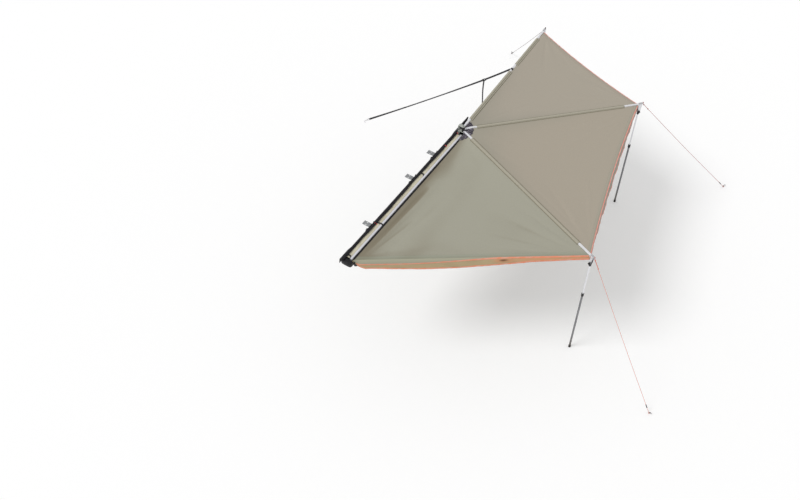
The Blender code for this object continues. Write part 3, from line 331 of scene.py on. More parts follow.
bright = worn_finish("bright_tube", ((214, 215, 218), (240, 240, 243)), (900, 2, None, (1, 1, 50)), None,
                     (0.24, 0.12, 0), 0.00005, metallic=0.9)
dulled = Finish("dull_tube", metallic=0.9)
where = dulled.place()
drawn = dulled.cloud(where, 900, 2, None, (1, 1, 50))
scuffs = dulled.cloud(where, 60, 5, (0.52, 0.72), (1, 1, 3))
near_ground = 1 - dulled.step(dulled.split(where)[2], -1.9, -1.55)
earth = near_ground * dulled.cloud(where, 25, 5)
metal = dulled.mix(scuffs, (128, 128, 131), (164, 164, 166))
dulled.finish(dulled.mix(earth, metal, (112, 100, 84)), 0.36 + drawn * 0.12 + earth * 0.3)
dulled.relief(drawn + scuffs, 0.00006)
rubber = worn_finish("black_rubber", ((24, 23, 24), (64, 60, 56)), (1200, 2), (90, 5, (0.45, 0.8)),
                     (0.7, 0, 0.2), 0.0003, specular_ior_level=0.3)
for number in arm_angles:
    dress(bright, f"leg_upper_{number}")
    dress(dulled, f"leg_lower_{number}")
    dress(rubber, f"foot_{number}")


# Liner: pale cotton cloth that spans the case from the rail to the back wall. It lies slack, with soft
# pleats across it, a stitched hem along each side, and the three webbing ties sewn into it.

def cloth_piece(name, grid, cut, finish, thickness=0.0009, tone_and_shade=None, weld=False):
    """A sheet from a grid of places, with its cut in metres for the weave, and a wall of its own."""
    rows, columns = grid.shape[:2]
    corner = np.arange(rows * columns).reshape(rows, columns)
    faces = np.stack([corner[:-1, :-1], corner[:-1, 1:], corner[1:, 1:], corner[1:, :-1]], -1).reshape(-1, 4)
    mesh = bpy.data.meshes.new(name)
    mesh.from_pydata(grid.reshape(-1, 3).tolist(), [], faces.tolist())
    layer = mesh.uv_layers.new(name="cut")
    layer.data.foreach_set("uv", cut.reshape(-1, 2)[faces.ravel()].astype(np.float32).ravel())
    if tone_and_shade is not None:
        shades = mesh.attributes.new("tone_and_shade", "FLOAT", "POINT")
        shades.data.foreach_set("value", tone_and_shade.astype(np.float32).ravel())
    if weld:
        work = bmesh.new()
        work.from_mesh(mesh)
        bmesh.ops.remove_doubles(work, verts=work.verts, dist=0.00002)
        work.to_mesh(mesh)
        work.free()
    mesh.shade_smooth()
    mesh.materials.append(finish.material)
    item = shown(name, mesh)
    if thickness:
        wall = item.modifiers.new("wall", "SOLIDIFY")
        wall.thickness = thickness
        wall.offset = 0
    return item


def fit(item, body, node=None):
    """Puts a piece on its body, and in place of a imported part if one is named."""
    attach(item, body)
    if node:
        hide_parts(node)


def spread(columns, rows):
    """Even shares over a grid of so many columns and rows of cells."""
    v, u = np.meshgrid(np.linspace(0, 1, rows + 1), np.linspace(0, 1, columns + 1), indexing="ij")
    return u, v


def pair(across, along):
    """Two numbers at each place of a grid, from a row and a column of them."""
    return np.stack(np.broadcast_arrays(across, along), -1)


def run_of(path):
    """How far along a line each of its places is."""
    return np.concatenate([[0], np.cumsum(np.linalg.norm(np.diff(path, axis=0), axis=1))])


def evenly(path, count):
    """So many even places along a line, and how far along each one is."""
    run = run_of(path)
    even = np.linspace(0, run[-1], count)
    return np.stack([np.interp(even, run, part) for part in path.T], -1), even


def ruffle(places, size, rise, turn=0.0):
    """Soft creases: how far cloth stands off its plain form at each place, in metres."""
    seed = Vector((turn, 2 * turn, 3 * turn))
    flat = places.reshape(-1, 3) / np.asarray(size)
    stands = [1 - 2.4 * abs(noise.noise(Vector(p) + seed)) + 0.5 * noise.noise(Vector(p) * 2.3 + seed)
              for p in flat]
    return rise * np.array(stands).reshape(places.shape[:-1])


stitch = (0.0052, 0.0012, 0.0010)
sewing_nodes = {
    "start": "NodeGroupInput", "end": "NodeGroupOutput", "curve": "GeometryNodeMeshToCurve",
    "even": "GeometryNodeResampleCurve", "shape": "GeometryNodeMeshIcoSphere",
    "sized": "GeometryNodeTransform", "tangent": "GeometryNodeInputTangent",
    "turned": "FunctionNodeAlignRotationToVector", "each": "GeometryNodeInstanceOnPoints",
    "real": "GeometryNodeRealizeInstances", "painted": "GeometryNodeSetMaterial"}
sewing_links = (
    "start.Lines curve.Mesh", "curve.Curve even.Curve", "start.Spacing even.Length",
    "shape.Mesh sized.Geometry", "start.Size sized.Scale", "tangent.Tangent turned.Vector",
    "even.Curve each.Points", "sized.Geometry each.Instance", "turned.Rotation each.Rotation",
    "each.Instances real.Geometry", "real.Geometry painted.Geometry", "start.Finish painted.Material",
    "painted.Geometry end.Stitches")
sewing_sockets = {"Lines": "Geometry", "Spacing": "Float", "Size": "Vector", "Finish": "Material"}
sewing = bpy.data.node_groups.new("sewing", "GeometryNodeTree")
sewing.is_modifier = True
sewing_inputs = {
    word: sewing.interface.new_socket(word, in_out="INPUT", socket_type="NodeSocket" + kind).identifier
    for word, kind in sewing_sockets.items()}
sewing.interface.new_socket("Stitches", in_out="OUTPUT", socket_type="NodeSocketGeometry")
steps = {word: sewing.nodes.new(kind) for word, kind in sewing_nodes.items()}
steps["even"].mode = "LENGTH"
steps["shape"].inputs["Radius"].default_value = 0.5
steps["shape"].inputs["Subdivisions"].default_value = 1
steps["turned"].axis = "X"
for joined in sewing_links:
    (giver, given), (taker, taken) = (side.split(".") for side in joined.split())
    sewing.links.new(steps[giver].outputs[given], steps[taker].inputs[taken])


def sewn(name, lines, spacing, finish, size=stitch):
    """Stitches set along lines by Geometry Nodes, each of that length, width and height."""
    verts, edges = [], []
    for line in lines:
        first = len(verts)
        verts += [tuple(p) for p in line]
        edges += [(i, i + 1) for i in range(first, len(verts) - 1)]
    mesh = bpy.data.meshes.new(name)
    mesh.from_pydata(verts, edges, [])
    item = shown(name, mesh)
    setting = item.modifiers.new("stitches", "NODES")
    setting.node_group = sewing
    for word, value in (("Spacing", spacing), ("Size", size), ("Finish", finish.material)):
        setting[sewing_inputs[word]] = value
    graph = bpy.context.evaluated_depsgraph_get()
    stitches = bpy.data.meshes.new_from_object(item.evaluated_get(graph))
    item.modifiers.clear()
    item.data = stitches
    stitches.shade_smooth()
    return item


def thread(name, dark, light):
    return worn_finish(name, (dark, light), (320, 2), None, (0.62, 0.1, 0), 0.0001, specular_ior_level=0.35)


rail_face, wall_face = 0.0205, 0.1015
case_front, case_rear = -2.44, 0.06

cotton = Finish("pale_cotton", specular_ior_level=0.2, sheen_weight=0.15)
cut, across, along = cotton.on_cut()
soiled = cotton.cloud(cut, 9, 5, (0.35, 0.8))
hems = cotton.step(cotton.math("ABSOLUTE", across), 0.0325, 0.0335)
colour = cotton.mix(soiled, (208, 202, 180), (188, 180, 157))
cotton.finish(cotton.mix(hems * 0.35, colour, (150, 140, 124)), 0.85 + soiled * 0.08)
cotton.relief(cotton.weave(across, along, 0.0013) * 0.4 + hems * 2, 0.00025)

liner_start, liner_width, liner_length = -2.42, 0.083, 2.385
u, v = spread(26, 300)
x = liner_start + liner_length * v
sag = 0.007 * np.sin(math.pi * u) * (1 + 0.25 * np.sin(9 * x))
pleats = (0.0016 * np.sin(31 * x + 5 * u) + 0.0010 * np.sin(77 * x - 7 * u)) * np.sin(math.pi * u)
liner_grid = hub + np.stack([x, rail_face + (wall_face - rail_face) * u, -0.0785 - sag + pleats], -1)
liner = cloth_piece("liner", liner_grid, pair((u - 0.5) * liner_width, x), cotton, thickness=0.0012)
cream_thread = thread("cream_thread", (198, 188, 170), (224, 216, 200))
liner_hems = [liner_grid[:, column] + (0, 0, 0.0010) for column in (2, 24)]
liner_seam = sewn("liner_seam", liner_hems, 0.0075, cream_thread)
fit(liner, "root", "liner_strip")
fit(liner_seam, "root")

webbing = Finish("black_webbing", specular_ior_level=0.35, sheen_weight=0.08)
cut, across, along = webbing.on_cut()
picks = webbing.wave(along + across * 0.5, 0.0022)
selvedge = webbing.step(webbing.math("ABSOLUTE", across), 0.0125, 0.0135)
dust = webbing.cloud(cut, 40, 4, (0.45, 0.8))
webbing.finish(webbing.mix(dust * 0.5 + selvedge * 0.2, (28, 26, 30), (62, 59, 62)), 0.6 + dust * 0.2)
webbing.relief(webbing.wave(across, 0.0034) + picks * 0.6 + selvedge, 0.0003)


def ribbon(points, spacing):
    """A smooth line through the given points, with a place each so many metres."""
    given = np.asarray(points, float)
    ends = np.concatenate([[2 * given[0] - given[1]], given, [2 * given[-1] - given[-2]]])
    fine = []
    for a, b, c, d in zip(ends, ends[1:], ends[2:], ends[3:]):
        t = np.linspace(0, 1, 40, endpoint=False)[:, None]
        fine.append(b + ((c - a) * t + (2 * a - 5 * b + 4 * c - d) * t ** 2
                         + (3 * b - 3 * c + d - a) * t ** 3) / 2)
    fine = np.concatenate(fine + [given[-1:]])
    return evenly(fine, max(3, round(run_of(fine)[-1] / spacing) + 1))


tie_top, tie_half = -0.06795, 0.010
over_rail = [(-0.00705, -0.013), (-0.00705, -0.003), (-0.00405, 0), (0.020, 0), (0.027, -0.0035)]
from_edge = [(0.0235, -0.0090), (0.0265, -0.0045), (0.0330, -0.0030)]
on_liner = [(0.046, -0.0062), (0.063, -0.0095), (0.088, -0.0115)]
for number, (middle, start, sweep) in enumerate(
        ((-0.86, from_edge, 0.030), (-1.81, over_rail, 0.012), (-2.39, from_edge, 0.030)), 1):
    line, run = ribbon([(y, tie_top + up) for y, up in start + on_liner], 0.002)
    share = np.linspace(-1, 1, 9)
    x = middle - sweep * np.exp(-run / 0.012)[:, None] + tie_half * share
    tie_grid = np.stack(np.broadcast_arrays(x, line[:, :1], line[:, 1:] - 0.0005 * share ** 2), -1) + hub
    tie = cloth_piece(f"liner_tie_{number}", tie_grid, pair(tie_half * share, run[:, None]), webbing,
                      thickness=0.0014)
    fit(tie, "root")


# Bag: the case stands in a black bag of PVC coated cloth. One skin goes round the case and hangs in
# front of it as a skirt, the long lid is thrown back over the wall, and each end is a gathered pouch.
# Three red pull tabs stand by the lid.

pvc = Finish("black_pvc_cloth", specular_ior_level=0.3, sheen_weight=0.03, coat_weight=0.03,
             coat_roughness=0.45)
cut, across, along = pvc.on_cut()
creases = pvc.cloud(cut, 34, 5, None, (1, 2.5, 1))
dusty = pvc.cloud(cut, 11, 5, (0.4, 0.78))
pvc.finish(pvc.mix(dusty * 0.6, (10, 8, 14), (36, 32, 40)), 0.42 + dusty * 0.22 + creases * 0.1)
pvc.relief(creases * 4 + pvc.weave(across, along, 0.0011) * 0.2, 0.0006)

pvc_thick, bag_stitch = 0.0014, 0.0085
skirt_top, skirt_drop = -0.124, 0.136
section, run = evenly(np.array([(0.1064, -0.134), (0.1064, -0.1515), (-0.0294, -0.1515), (-0.0294, -0.1208),
                                (-0.0352, -0.126), (-0.0362, -0.17), (-0.0342, -0.22), (-0.0350, -0.26)]), 96)
section[1:-1] = 0.2 * section[:-2] + 0.6 * section[1:-1] + 0.2 * section[2:]
x = np.linspace(case_front, case_rear, 330)[:, None]
hanging = np.clip((skirt_top - section[:, 1]) / skirt_drop, 0, 1) * (section[:, 0] < -0.03)
from_end = np.minimum(x - case_front, case_rear - x)
kept = 0.10 + 0.90 * np.sqrt(1 - (1 - np.clip(from_end / 0.20, 0, 1)) ** 2)
waves = (0.0035 * np.sin(7 * x) + 0.0030 * np.sin(19 * x + 1.1) + 0.0016 * np.sin(43 * x + 2)
         + 0.0010 * np.sin(88 * x))
skin_grid = np.stack(np.broadcast_arrays(x, section[:, 0], section[:, 1]), -1)
skin_grid[..., 2] += (1 - kept) * hanging * skirt_drop
skin_grid[..., 1] -= hanging * (0.001 + waves)
skin_grid[..., 2] += hanging ** 2 * 0.003 * np.sin(5 * x)
skin_grid[..., 1] -= hanging ** 0.5 * np.maximum(0, ruffle(skin_grid, (0.11, 0.05, 0.16), 0.0022, 3))
skin_grid += hub
skin = cloth_piece("bag_skin", skin_grid, pair(run, x), pvc, thickness=pvc_thick)
black_thread = thread("black_thread", (30, 28, 32), (70, 68, 72))
skin_seam = sewn("bag_skin_seam", [skin_grid[:, column] + (0, -0.0011, 0) for column in (91, 94)], bag_stitch,
                 black_thread)

bracket_places = (-0.51, -1.00, -1.90)
lid_start, lid_length = -2.50, 2.80
u, v = spread(40, 420)
x = lid_start + lid_length * v
clear = np.min([np.abs(x - place) for place in bracket_places], axis=0)
share = np.clip((clear - 0.042) / 0.09, 0, 1)
free = share ** 2 * (3 - 2 * share)
near_end = np.maximum(np.clip((case_front + 0.16 - x) / 0.06, 0, 1),
                      np.clip((x - case_rear + 0.16) / 0.06, 0, 1))
edge = 0.096 + (0.0106 + 0.0085 * near_end) * np.minimum(1, 6 * free)
swell = 0.5 + 0.5 * np.sin(8 * x + 1)
inner = 0.0655 + 0.0035 * np.sin(5.2 * x + 0.6) + 0.0018 * np.sin(17 * x) + 0.30 * np.maximum(0, x - 0.20)
top = np.clip(u / 0.5, 0, 1)
fall = np.clip((u - 0.5) / 0.5, 0, 1)
falls = np.clip((free - 0.25) / 0.75, 0, 1)
drop = 0.10 * falls * (0.9 + 0.1 * np.sin(11 * x)) - 0.006 * (1 - falls)
lid_grid = np.stack([x, inner + (edge - inner) * top + (0.005 + 0.004 * swell) * np.sin(math.pi * fall / 2),
                     -0.0731 + (0.006 + 0.004 * swell) * np.sin(math.pi * top) - drop * fall], -1)
crease = ruffle(lid_grid, (0.085, 0.05, 0.09), 0.0030, 7) + ruffle(lid_grid, (0.21, 0.08, 0.12), 0.0030, 9)
lid_grid[..., 2] += np.maximum(crease, -0.0010) * np.sin(math.pi * top) ** 0.7 * (top < 1)
lid_grid[..., 1] += np.maximum(crease, -0.0005) * np.sin(math.pi * np.clip(fall, 0, 0.95) / 2)
lid_grid += hub
lid = cloth_piece("bag_lid_cloth", lid_grid, pair(u * 0.16, x), pvc, thickness=pvc_thick)
lid_hems = [lid_grid[:, 2] + (0, 0, 0.0012), lid_grid[:, 38] + (0, 0.0012, 0)]
lid_seam = sewn("bag_lid_seam", lid_hems, bag_stitch, black_thread)
fit(skin, "root", "bag_body")
fit(skin_seam, "root")
fit(lid, "root", "bag_lid")
fit(lid_seam, "root")

pouch_middle = np.array((0, 0.0405, -0.1170))
for place, mouth, end, seed, flat in (("front", case_front - 0.0015, -2.499, 5, (0.40, 0.075)),
                                      ("rear", case_rear + 0.0015, 0.215, 8, (0.42, 0.15))):
    turn, depth = spread(84, 30)
    angle = 2 * math.pi * turn
    close = np.maximum(1 - depth ** 3.2, 0) ** 0.42
    power = 0.28 + 0.30 * depth ** 2
    wide, high = (np.sign(part) * np.abs(part) ** power for part in (np.cos(angle), np.sin(angle)))
    sag = 0.010 * depth * (1 - depth)
    grid = np.stack([mouth + (end - mouth) * (1 - (1 - depth) ** 1.5),
                     pouch_middle[1] + 0.0715 * wide * close,
                     pouch_middle[2] + 0.0375 * high * close - sag], -1)
    tucks = ruffle(grid, (0.045, 0.030, 0.030), 0.0042, seed)
    gathered = 0.0022 * np.sin(angle * 11 + 1.5 * np.sin(3 * angle)) * depth
    inward = (np.minimum(tucks, 0.0015) + gathered) * np.minimum(1, depth * 4) * close
    outward = (grid - pouch_middle) * (0, 1, 1)
    outward /= np.maximum(np.linalg.norm(outward, axis=-1, keepdims=True), 1e-6)
    grid += outward * (inward - 0.001)[..., None]
    pouch_cut = pair(turn * 0.40, depth * abs(end - mouth) * 1.4)
    pouch = cloth_piece(f"bag_pouch_{place}", grid + hub, pouch_cut, pvc, thickness=0.0013, weld=True)
    fit(pouch, "root", f"bag_end_{place}")

red_felt = Finish("red_tab", specular_ior_level=0.3, sheen_weight=0.1)
cut, across, along = red_felt.on_cut()
worn = red_felt.cloud(cut, 160, 4)
red_felt.finish(red_felt.mix(worn, (226, 58, 66), (246, 112, 108)), 0.6 + worn * 0.15)
red_felt.relief(red_felt.weave(across, along, 0.0012), 0.0002)
for number, middle in enumerate((-0.022, -0.298, -1.84), 1):
    across, along = spread(8, 14)
    lift = 0.0015 + 0.0025 * np.sin(math.pi * along) + 0.0008 * np.sin(5 * across)
    tab_grid = np.stack([middle + 0.015 * (across - 0.5), 0.058 + 0.026 * along,
                         -0.0790 + 0.0125 * along ** 1.2 + lift], -1) + hub
    tab_cut = pair(across * 0.015, along * 0.025)
    tab = cloth_piece(f"pull_tab_{number}", tab_grid, tab_cut, red_felt, thickness=0.0012)
    fit(tab, "root")


# Canopy: three panels of coated polyester and cotton cloth between the arms, cut straight and pulled
# into long shallow folds by the tips and the front corner. The cloth is a plain weave with a fine
# square of heavier threads, and it takes a double layer along its outer hem.

hub_reach, panel_reach, rail_reach, panel_length = 0.112, 2.37, 2.425, 2.24
edge_gap = 0.0157
hollows = {1: 0.0, 2: 0.020, 3: 0.020}


def heading(number):
    """Outward along an arm, or along the rail."""
    turn = math.radians(arm_angles.get(number, 0.0))
    return np.array((-math.cos(turn), -math.sin(turn)))


def aside(number):
    """Across an arm, toward the next one."""
    along = heading(number)
    return np.array((-along[1], along[0]))


def place_beside(number, side, radius):
    """Where a panel's edge runs at so many metres from the hub: by the rail, or by an arm's pocket."""
    if number == 1:
        flat = np.stack([-radius, np.full_like(radius, -0.0065)], -1)
        up = np.full_like(radius, -0.088)
    else:
        flat = radius[..., None] * heading(number) + side * edge_gap * aside(number)
        up = arm_levels[number] - radius * droop
    return hub + np.concatenate([flat, up[..., None]], -1)


def bowed_edges(number, u):
    """How far from the hub a panel begins and ends: both edges are bowed between its arms."""
    bow = 4 * u * (1 - u)
    return hub_reach * (1 + 0.06 * bow), panel_reach * (1 - hollows[number] * bow)


def plain_panel(number, u, v):
    """The smooth panel: u from one arm to the next, v from the hub's edge to the outer hem."""
    start, end = bowed_edges(number, u)
    radius = start + (end - start) * v
    beside = radius * (1 + (rail_reach / panel_reach - 1) * v) if number == 1 else radius
    first, second = place_beside(number, 1, beside), place_beside(number + 1, -1, radius)
    place = first + (second - first) * u[..., None]
    place[..., 2] -= 0.020 * (4 * u * (1 - u)) * np.sin(math.pi * v)
    return place


# From and to as shares of the panel, then width and rise in metres
long_folds = {
    1: [(0.02, 0.99, 0.13, 0.42, 0.042, -0.0150), (0.05, 0.97, 0.22, 0.36, 0.036, 0.0105),
        (0.05, 0.985, 0.16, 0.70, 0.020, -0.0060), (0.015, 0.90, 0.05, 0.22, 0.030, -0.0080),
        (0.12, 0.96, 0.33, 0.50, 0.040, -0.0032), (0.03, 0.98, 0.34, 0.68, 0.050, 0.0030),
        (0.95, 0.97, 0.72, 0.70, 0.028, -0.0028), (0.93, 0.98, 0.60, 0.82, 0.024, -0.0034),
        (0.95, 0.985, 0.55, 0.90, 0.020, 0.0028), (0.97, 0.93, 0.84, 0.60, 0.022, -0.0026),
        (0.98, 0.80, 0.92, 0.45, 0.018, -0.0020)],
    2: [(0.97, 0.97, 0.74, 0.45, 0.034, -0.0034), (0.94, 0.97, 0.60, 0.62, 0.030, 0.0026),
        (0.97, 0.985, 0.66, 0.86, 0.022, -0.0030), (0.03, 0.96, 0.22, 0.60, 0.030, -0.0034),
        (0.04, 0.98, 0.40, 0.86, 0.024, 0.0028), (0.06, 0.90, 0.10, 0.40, 0.024, -0.0022),
        (0.25, 0.06, 0.20, 0.42, 0.028, -0.0026), (0.60, 0.05, 0.52, 0.34, 0.030, 0.0022)],
    3: [(0.03, 0.97, 0.30, 0.62, 0.030, -0.0036), (0.04, 0.985, 0.52, 0.90, 0.024, -0.0034),
        (0.06, 0.93, 0.14, 0.40, 0.026, -0.0026), (0.95, 0.97, 0.70, 0.72, 0.030, -0.0030),
        (0.94, 0.98, 0.52, 0.93, 0.022, 0.0026), (0.40, 0.08, 0.34, 0.46, 0.026, -0.0024)],
}
# The corner that pulls, then phase, number, rise and reach of the small folds round it
pulls = {
    1: [((1, 1), 2.1, 16, 0.0026, 0.40), ((0, 1), 1.1, 12, 0.0030, 0.50), ((0.5, 0), 0.0, 9, 0.0014, 0.30)],
    2: [((1, 1), 0.3, 17, 0.0022, 0.34), ((0, 1), 2.4, 15, 0.0022, 0.32), ((0.5, 0), 0.7, 9, 0.0014, 0.30)],
    3: [((0, 1), 1.4, 16, 0.0024, 0.36), ((1, 1), 0.6, 15, 0.0018, 0.30), ((0.5, 0), 1.9, 8, 0.0012, 0.26)],
}


def folds(number, u, v, place):
    """How far the cloth stands up or lies low where its corners pull on it."""
    height = np.zeros(u.shape)
    flat = place[..., :2]
    for u0, v0, u1, v1, width, rise in long_folds[number]:
        ends = plain_panel(number, np.array((u0, u1)), np.array((v0, v1)))[:, :2]
        run = ends[1] - ends[0]
        share = np.clip(((flat - ends[0]) @ run) / (run @ run), 0, 1)
        off = np.linalg.norm(flat - ends[0] - share[..., None] * run, axis=-1)
        off /= width * (0.45 + 0.75 * share)
        height += rise * np.exp(-off ** 2) * (4 * share * (1 - share)) ** 0.6
    for (u0, v0), phase, count, rise, reach in pulls[number]:
        corner = plain_panel(number, np.array((u0,), float), np.array((v0,), float))[0, :2]
        away = flat - corner
        far = np.linalg.norm(away, axis=-1)
        around = np.arctan2(away[..., 1], away[..., 0])
        swell = (far / reach) ** 1.2 * np.exp(1 - (far / reach) ** 1.2)
        fan = np.sin(around * count + phase) + 0.5 * np.sin(around * count * 1.7 + 2 * phase)
        height += rise * swell * fan * 0.6
    x, y = flat[..., 0], flat[..., 1]
    slow = np.sin(2.9 * x + 1.3 * y + number) * np.sin(3.7 * y - 1.1 * x) + 0.5 * np.sin(7.1 * x - 3.3 * y)
    height += 0.0016 * slow
    by_arms, by_hem, by_hub = np.minimum(u, 1 - u) * 16, (1 - v) * 30 + 0.12, v * 8 + 0.1
    return height * (np.minimum(1, by_arms) * np.minimum(1, by_hem) * np.minimum(1, by_hub))


def canopy(number, u, v):
    """The cloth with its folds, and the same places in all that is sewn to it."""
    place = plain_panel(number, u, v)
    place[..., 2] += folds(number, u, v, place)
    return place


def between_arms(item, number):
    """Bakes a piece of the canopy's place into its points and finds the angle of each round the hub."""
    halfway, beside_arm = np.array(1.2), 0.017
    tuple(place_beside(number, 1, halfway))
    tuple(place_beside(number + 1, -1, halfway))
    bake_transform(item)
    co = np.zeros(len(item.data.vertices) * 3, np.float32)
    item.data.vertices.foreach_get("co", co)
    out = co.reshape(-1, 3)[:, :2] - hub[:2]
    angle = np.degrees(np.arctan2(-out[:, 1], -out[:, 0]))
    angle = np.where(angle < -90, angle + 360, angle)


def canopy_cloth(name, green, brown, shade, band, edge=2.0):
    """Woven cloth: colour between two by each point's tone, which carries painted light and shade as well as
    the cloth's own tone, and relief from its threads.
    """
    made = Finish(name, specular_ior_level=0.25, sheen_weight=0.12, sheen_roughness=0.5)
    cut, across, along = made.on_cut()
    tone_and_shade = made.node("Attribute", {"attribute_name": "tone_and_shade"}, {}, "Fac")
    faded = made.cloud(cut, 1.6, 4)
    mottled = made.cloud(cut, 55, 3)
    squares = made.math("MAXIMUM", made.wave(across, 0.0062), made.wave(along, 0.0062)) ** 24
    hem = 1 - made.step(along, 0.030, 0.034)
    doubled = 1 - made.step(along, 0.050, 0.060)
    # A dark line of painted shade along the fold at a pocket's edge, edge metres out from its middle.
    painted_fold_shade = 1 - made.step(made.math("ABSOLUTE", made.math("ABSOLUTE", across) - edge), 0.0030, 0.0060)
    # The tone turns the colour from the first to the second; on the panels it carries painted light and
    # shade.
    colour = made.mix(made.step(tone_and_shade + (faded - 0.5) * 0.5, 0.0, 1.0), green, brown)
    for share, over in ((mottled * 0.16, shade), (hem * 0.22, shade), (doubled * 0.35, band),
                        (painted_fold_shade * 0.8, shade)):
        colour = made.mix(share, colour, over)
    made.finish(colour, 0.78 + mottled * 0.12)
    made.relief(made.weave(across, along, 0.0016) * 0.5 + squares * 0.6 + hem * 2, 0.00018)
    return made


# Each panel's colours are one cloth, painted lighter or darker, greener or warmer, as the light falls on that
# panel.
panel_colours_as_lit = {1: ((168, 166, 151), (135, 127, 109), (104, 99, 80), (150, 157, 139)),
                 2: ((160, 156, 142), (174, 165, 150), (106, 99, 83), (160, 161, 146)),
                 3: ((158, 154, 141), (174, 166, 152), (106, 99, 83), (168, 154, 142))}
for number, (width, area) in {1: (2.68, 2.50), 2: (2.66, 2.48), 3: (1.85, 1.92)}.items():
    u, v = spread(190, 150)
    cut = pair((u - 0.5) * width * (0.06 + 0.94 * v), (1 - v) * panel_length)
    # On the first panel the tone is darker and browner by the rail and in a band out from it, darker along
    # the outer hem toward the rail, and painted shade in the hollows of the folds. On the others it turns
    # lighter and warmer out toward the middle of the hem.
    if number == 1:
        from_rail = u * (0.25 + 2.3 * v)
        tone_and_shade = 0.72 * np.exp(-(from_rail / 0.21) ** 2) + 0.25 * np.exp(-((from_rail - 0.62) / 0.16) ** 2) * v
        tone_and_shade += 0.6 * np.clip(-folds(1, u, v, plain_panel(1, u, v)) / 0.010, 0, 1)
        tone_and_shade += 0.28 * np.exp(-((1 - v) / 0.08) ** 2) * (1 - 0.7 * u)
    else:
        tone_and_shade = np.clip(0.25 + 2.2 * v * (0.35 + u * (1 - u) * 2.4), 0, 1)
    panel = cloth_piece(f"canopy_panel_{number}", canopy(number, u, v), cut,
                        canopy_cloth(f"canopy_cloth_{number}", *panel_colours_as_lit[number]), tone_and_shade=tone_and_shade)
    between_arms(panel, number)
    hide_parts(f"panel_{number}")
    "arm_1_rail" if number == 1 else f"arm_{number}"
    f"arm_{number + 1}"


# Pole pockets: a double strip of the same cloth over the seam between two panels. It passes over the
# arm as a narrow ridge, is sewn down twice on each side, and closes under the arm. The last arm's
# pocket is sewn to one panel only and is open at the place of the strap.

def on_panel(arm, radius, across, up):
    """A line along an arm on the panel beside it: so far across from the arm, and up from the cloth."""
    side = 1 if across > 0 else -1
    number = arm if side > 0 else arm - 1
    off = abs(across) - edge_gap
    gap = math.radians(abs(arm_angles.get(arm + side, 0.0) - arm_angles[arm]))
    toward = off / math.sin(gap)
    at = radius - off / math.tan(gap) + toward
    u = toward / at if side > 0 else 1 - toward / at
    start, end = bowed_edges(number, u)
    flat = hub[:2] + radius[:, None] * heading(arm) + across * aside(arm)
    level = canopy(number, u, np.clip((at - start) / (end - start), 0, 1))[:, 2] + up
    return np.concatenate([flat, level[:, None]], -1)


def round_arm(arm, radius, across, up):
    """A line along an arm: so far across it toward the next arm, and up from its middle."""
    pucker = 0.0005 * np.sin(radius * 95) + 0.0004 * np.sin(radius * 41 + arm)
    level = arm_levels[arm] - radius * droop + up - abs(pucker) * (1 if up > 0 else -1) * (abs(up) < 0.0125)
    flat = radius[:, None] * heading(arm) + (across + pucker * np.sign(across))[:, None] * aside(arm)
    return np.concatenate([flat, level[:, None]], -1) + hub


def mirrored(outline):
    return [(place, -across, up) for place, across, up in outline[::-1]]


half_over = [(round_arm, -0.0150, 0.0040), (round_arm, -0.0146, 0.0088), (round_arm, -0.0122, 0.0122),
             (round_arm, -0.0060, 0.0129)]
over_arm = half_over + [(round_arm, 0.0, 0.0130)] + mirrored(half_over)
under_arm = [(place, across, -up) for place, across, up in over_arm]
by_arm = [(on_panel, -0.0205, 0.0013), (on_panel, -0.0175, 0.0019)]
flange = [(on_panel, -0.029, 0.0013), (on_panel, -0.0265, 0.0015), (on_panel, -0.024, 0.0013), *by_arm]
last_flange = [(on_panel, -0.038, 0.0013), (on_panel, -0.034, 0.0015), (on_panel, -0.028, 0.0013), *by_arm]
low_flange = [(on_panel, -0.024, -0.0013), (on_panel, -0.0175, -0.0019)]
seams = [(-0.0195, 0.0022), (-0.0265, 0.0024), (0.0195, 0.0022), (0.0265, 0.0024)]
last_seams = [(-0.0195, 0.0022), (-0.0355, 0.0024)]

strip_thick, seam_step = 0.0006, 0.0070
pair_strips = {"_top": flange + over_arm + mirrored(flange),
               "_under": low_flange + under_arm + mirrored(low_flange)}
last_strip = {"": last_flange + over_arm + under_arm[::-1] + low_flange[::-1]}
pocket_colours = ((176, 171, 155), (168, 161, 144))
# The pockets' dark colour also paints the shade along their folded edges, darker on the last pocket.
pocket_cloth = canopy_cloth("pocket_cloth", *pocket_colours, (112, 105, 84), (160, 158, 144), 0.0330)
last_cloth = canopy_cloth("last_pocket_cloth", *pocket_colours, (78, 72, 46), (160, 158, 144), 0.0605)
khaki_thread = thread("khaki_thread", (96, 90, 70), (126, 119, 97))
for arm, start, end, tail, strips, seam_places, woven in (
        (2, 0.18, 2.18, "", pair_strips, seams, pocket_cloth),
        (3, 0.18, 2.18, "", pair_strips, seams, pocket_cloth),
        (4, 0.18, 1.32, "_inner", last_strip, last_seams, last_cloth),
        (4, 1.49, 2.18, "_outer", last_strip, last_seams, last_cloth)):
    radius = np.linspace(start, end, round((end - start) / 0.012))
    for layer, outline in strips.items():
        grid = np.stack([place(arm, radius, across, up) for place, across, up in outline], 1)
        wide = run_of(grid[len(grid) // 2])
        cut = pair(wide - wide[-1] / 2, radius[:, None] + 0.1)
        pocket = cloth_piece(f"pole_pocket_{arm}{tail}{layer}", grid, cut, woven, thickness=strip_thick)
        fit(pocket, f"arm_{arm}", f"sleeve_{arm}{tail}")
        round(float(cut[0, -1, 0] - cut[0, 0, 0]), 3)
        end - start
    seam_lines = [on_panel(arm, radius, *place) for place in seam_places]
    seam = sewn(f"pocket_seam_{arm}{tail}", seam_lines, seam_step, khaki_thread)
    fit(seam, f"arm_{arm}")


# Valances: a strip that hangs from each outer hem. The first panel's cloth rolls over and sags before
# its strip. Orange tape covers the upper seam, and more is folded round the lower edge.

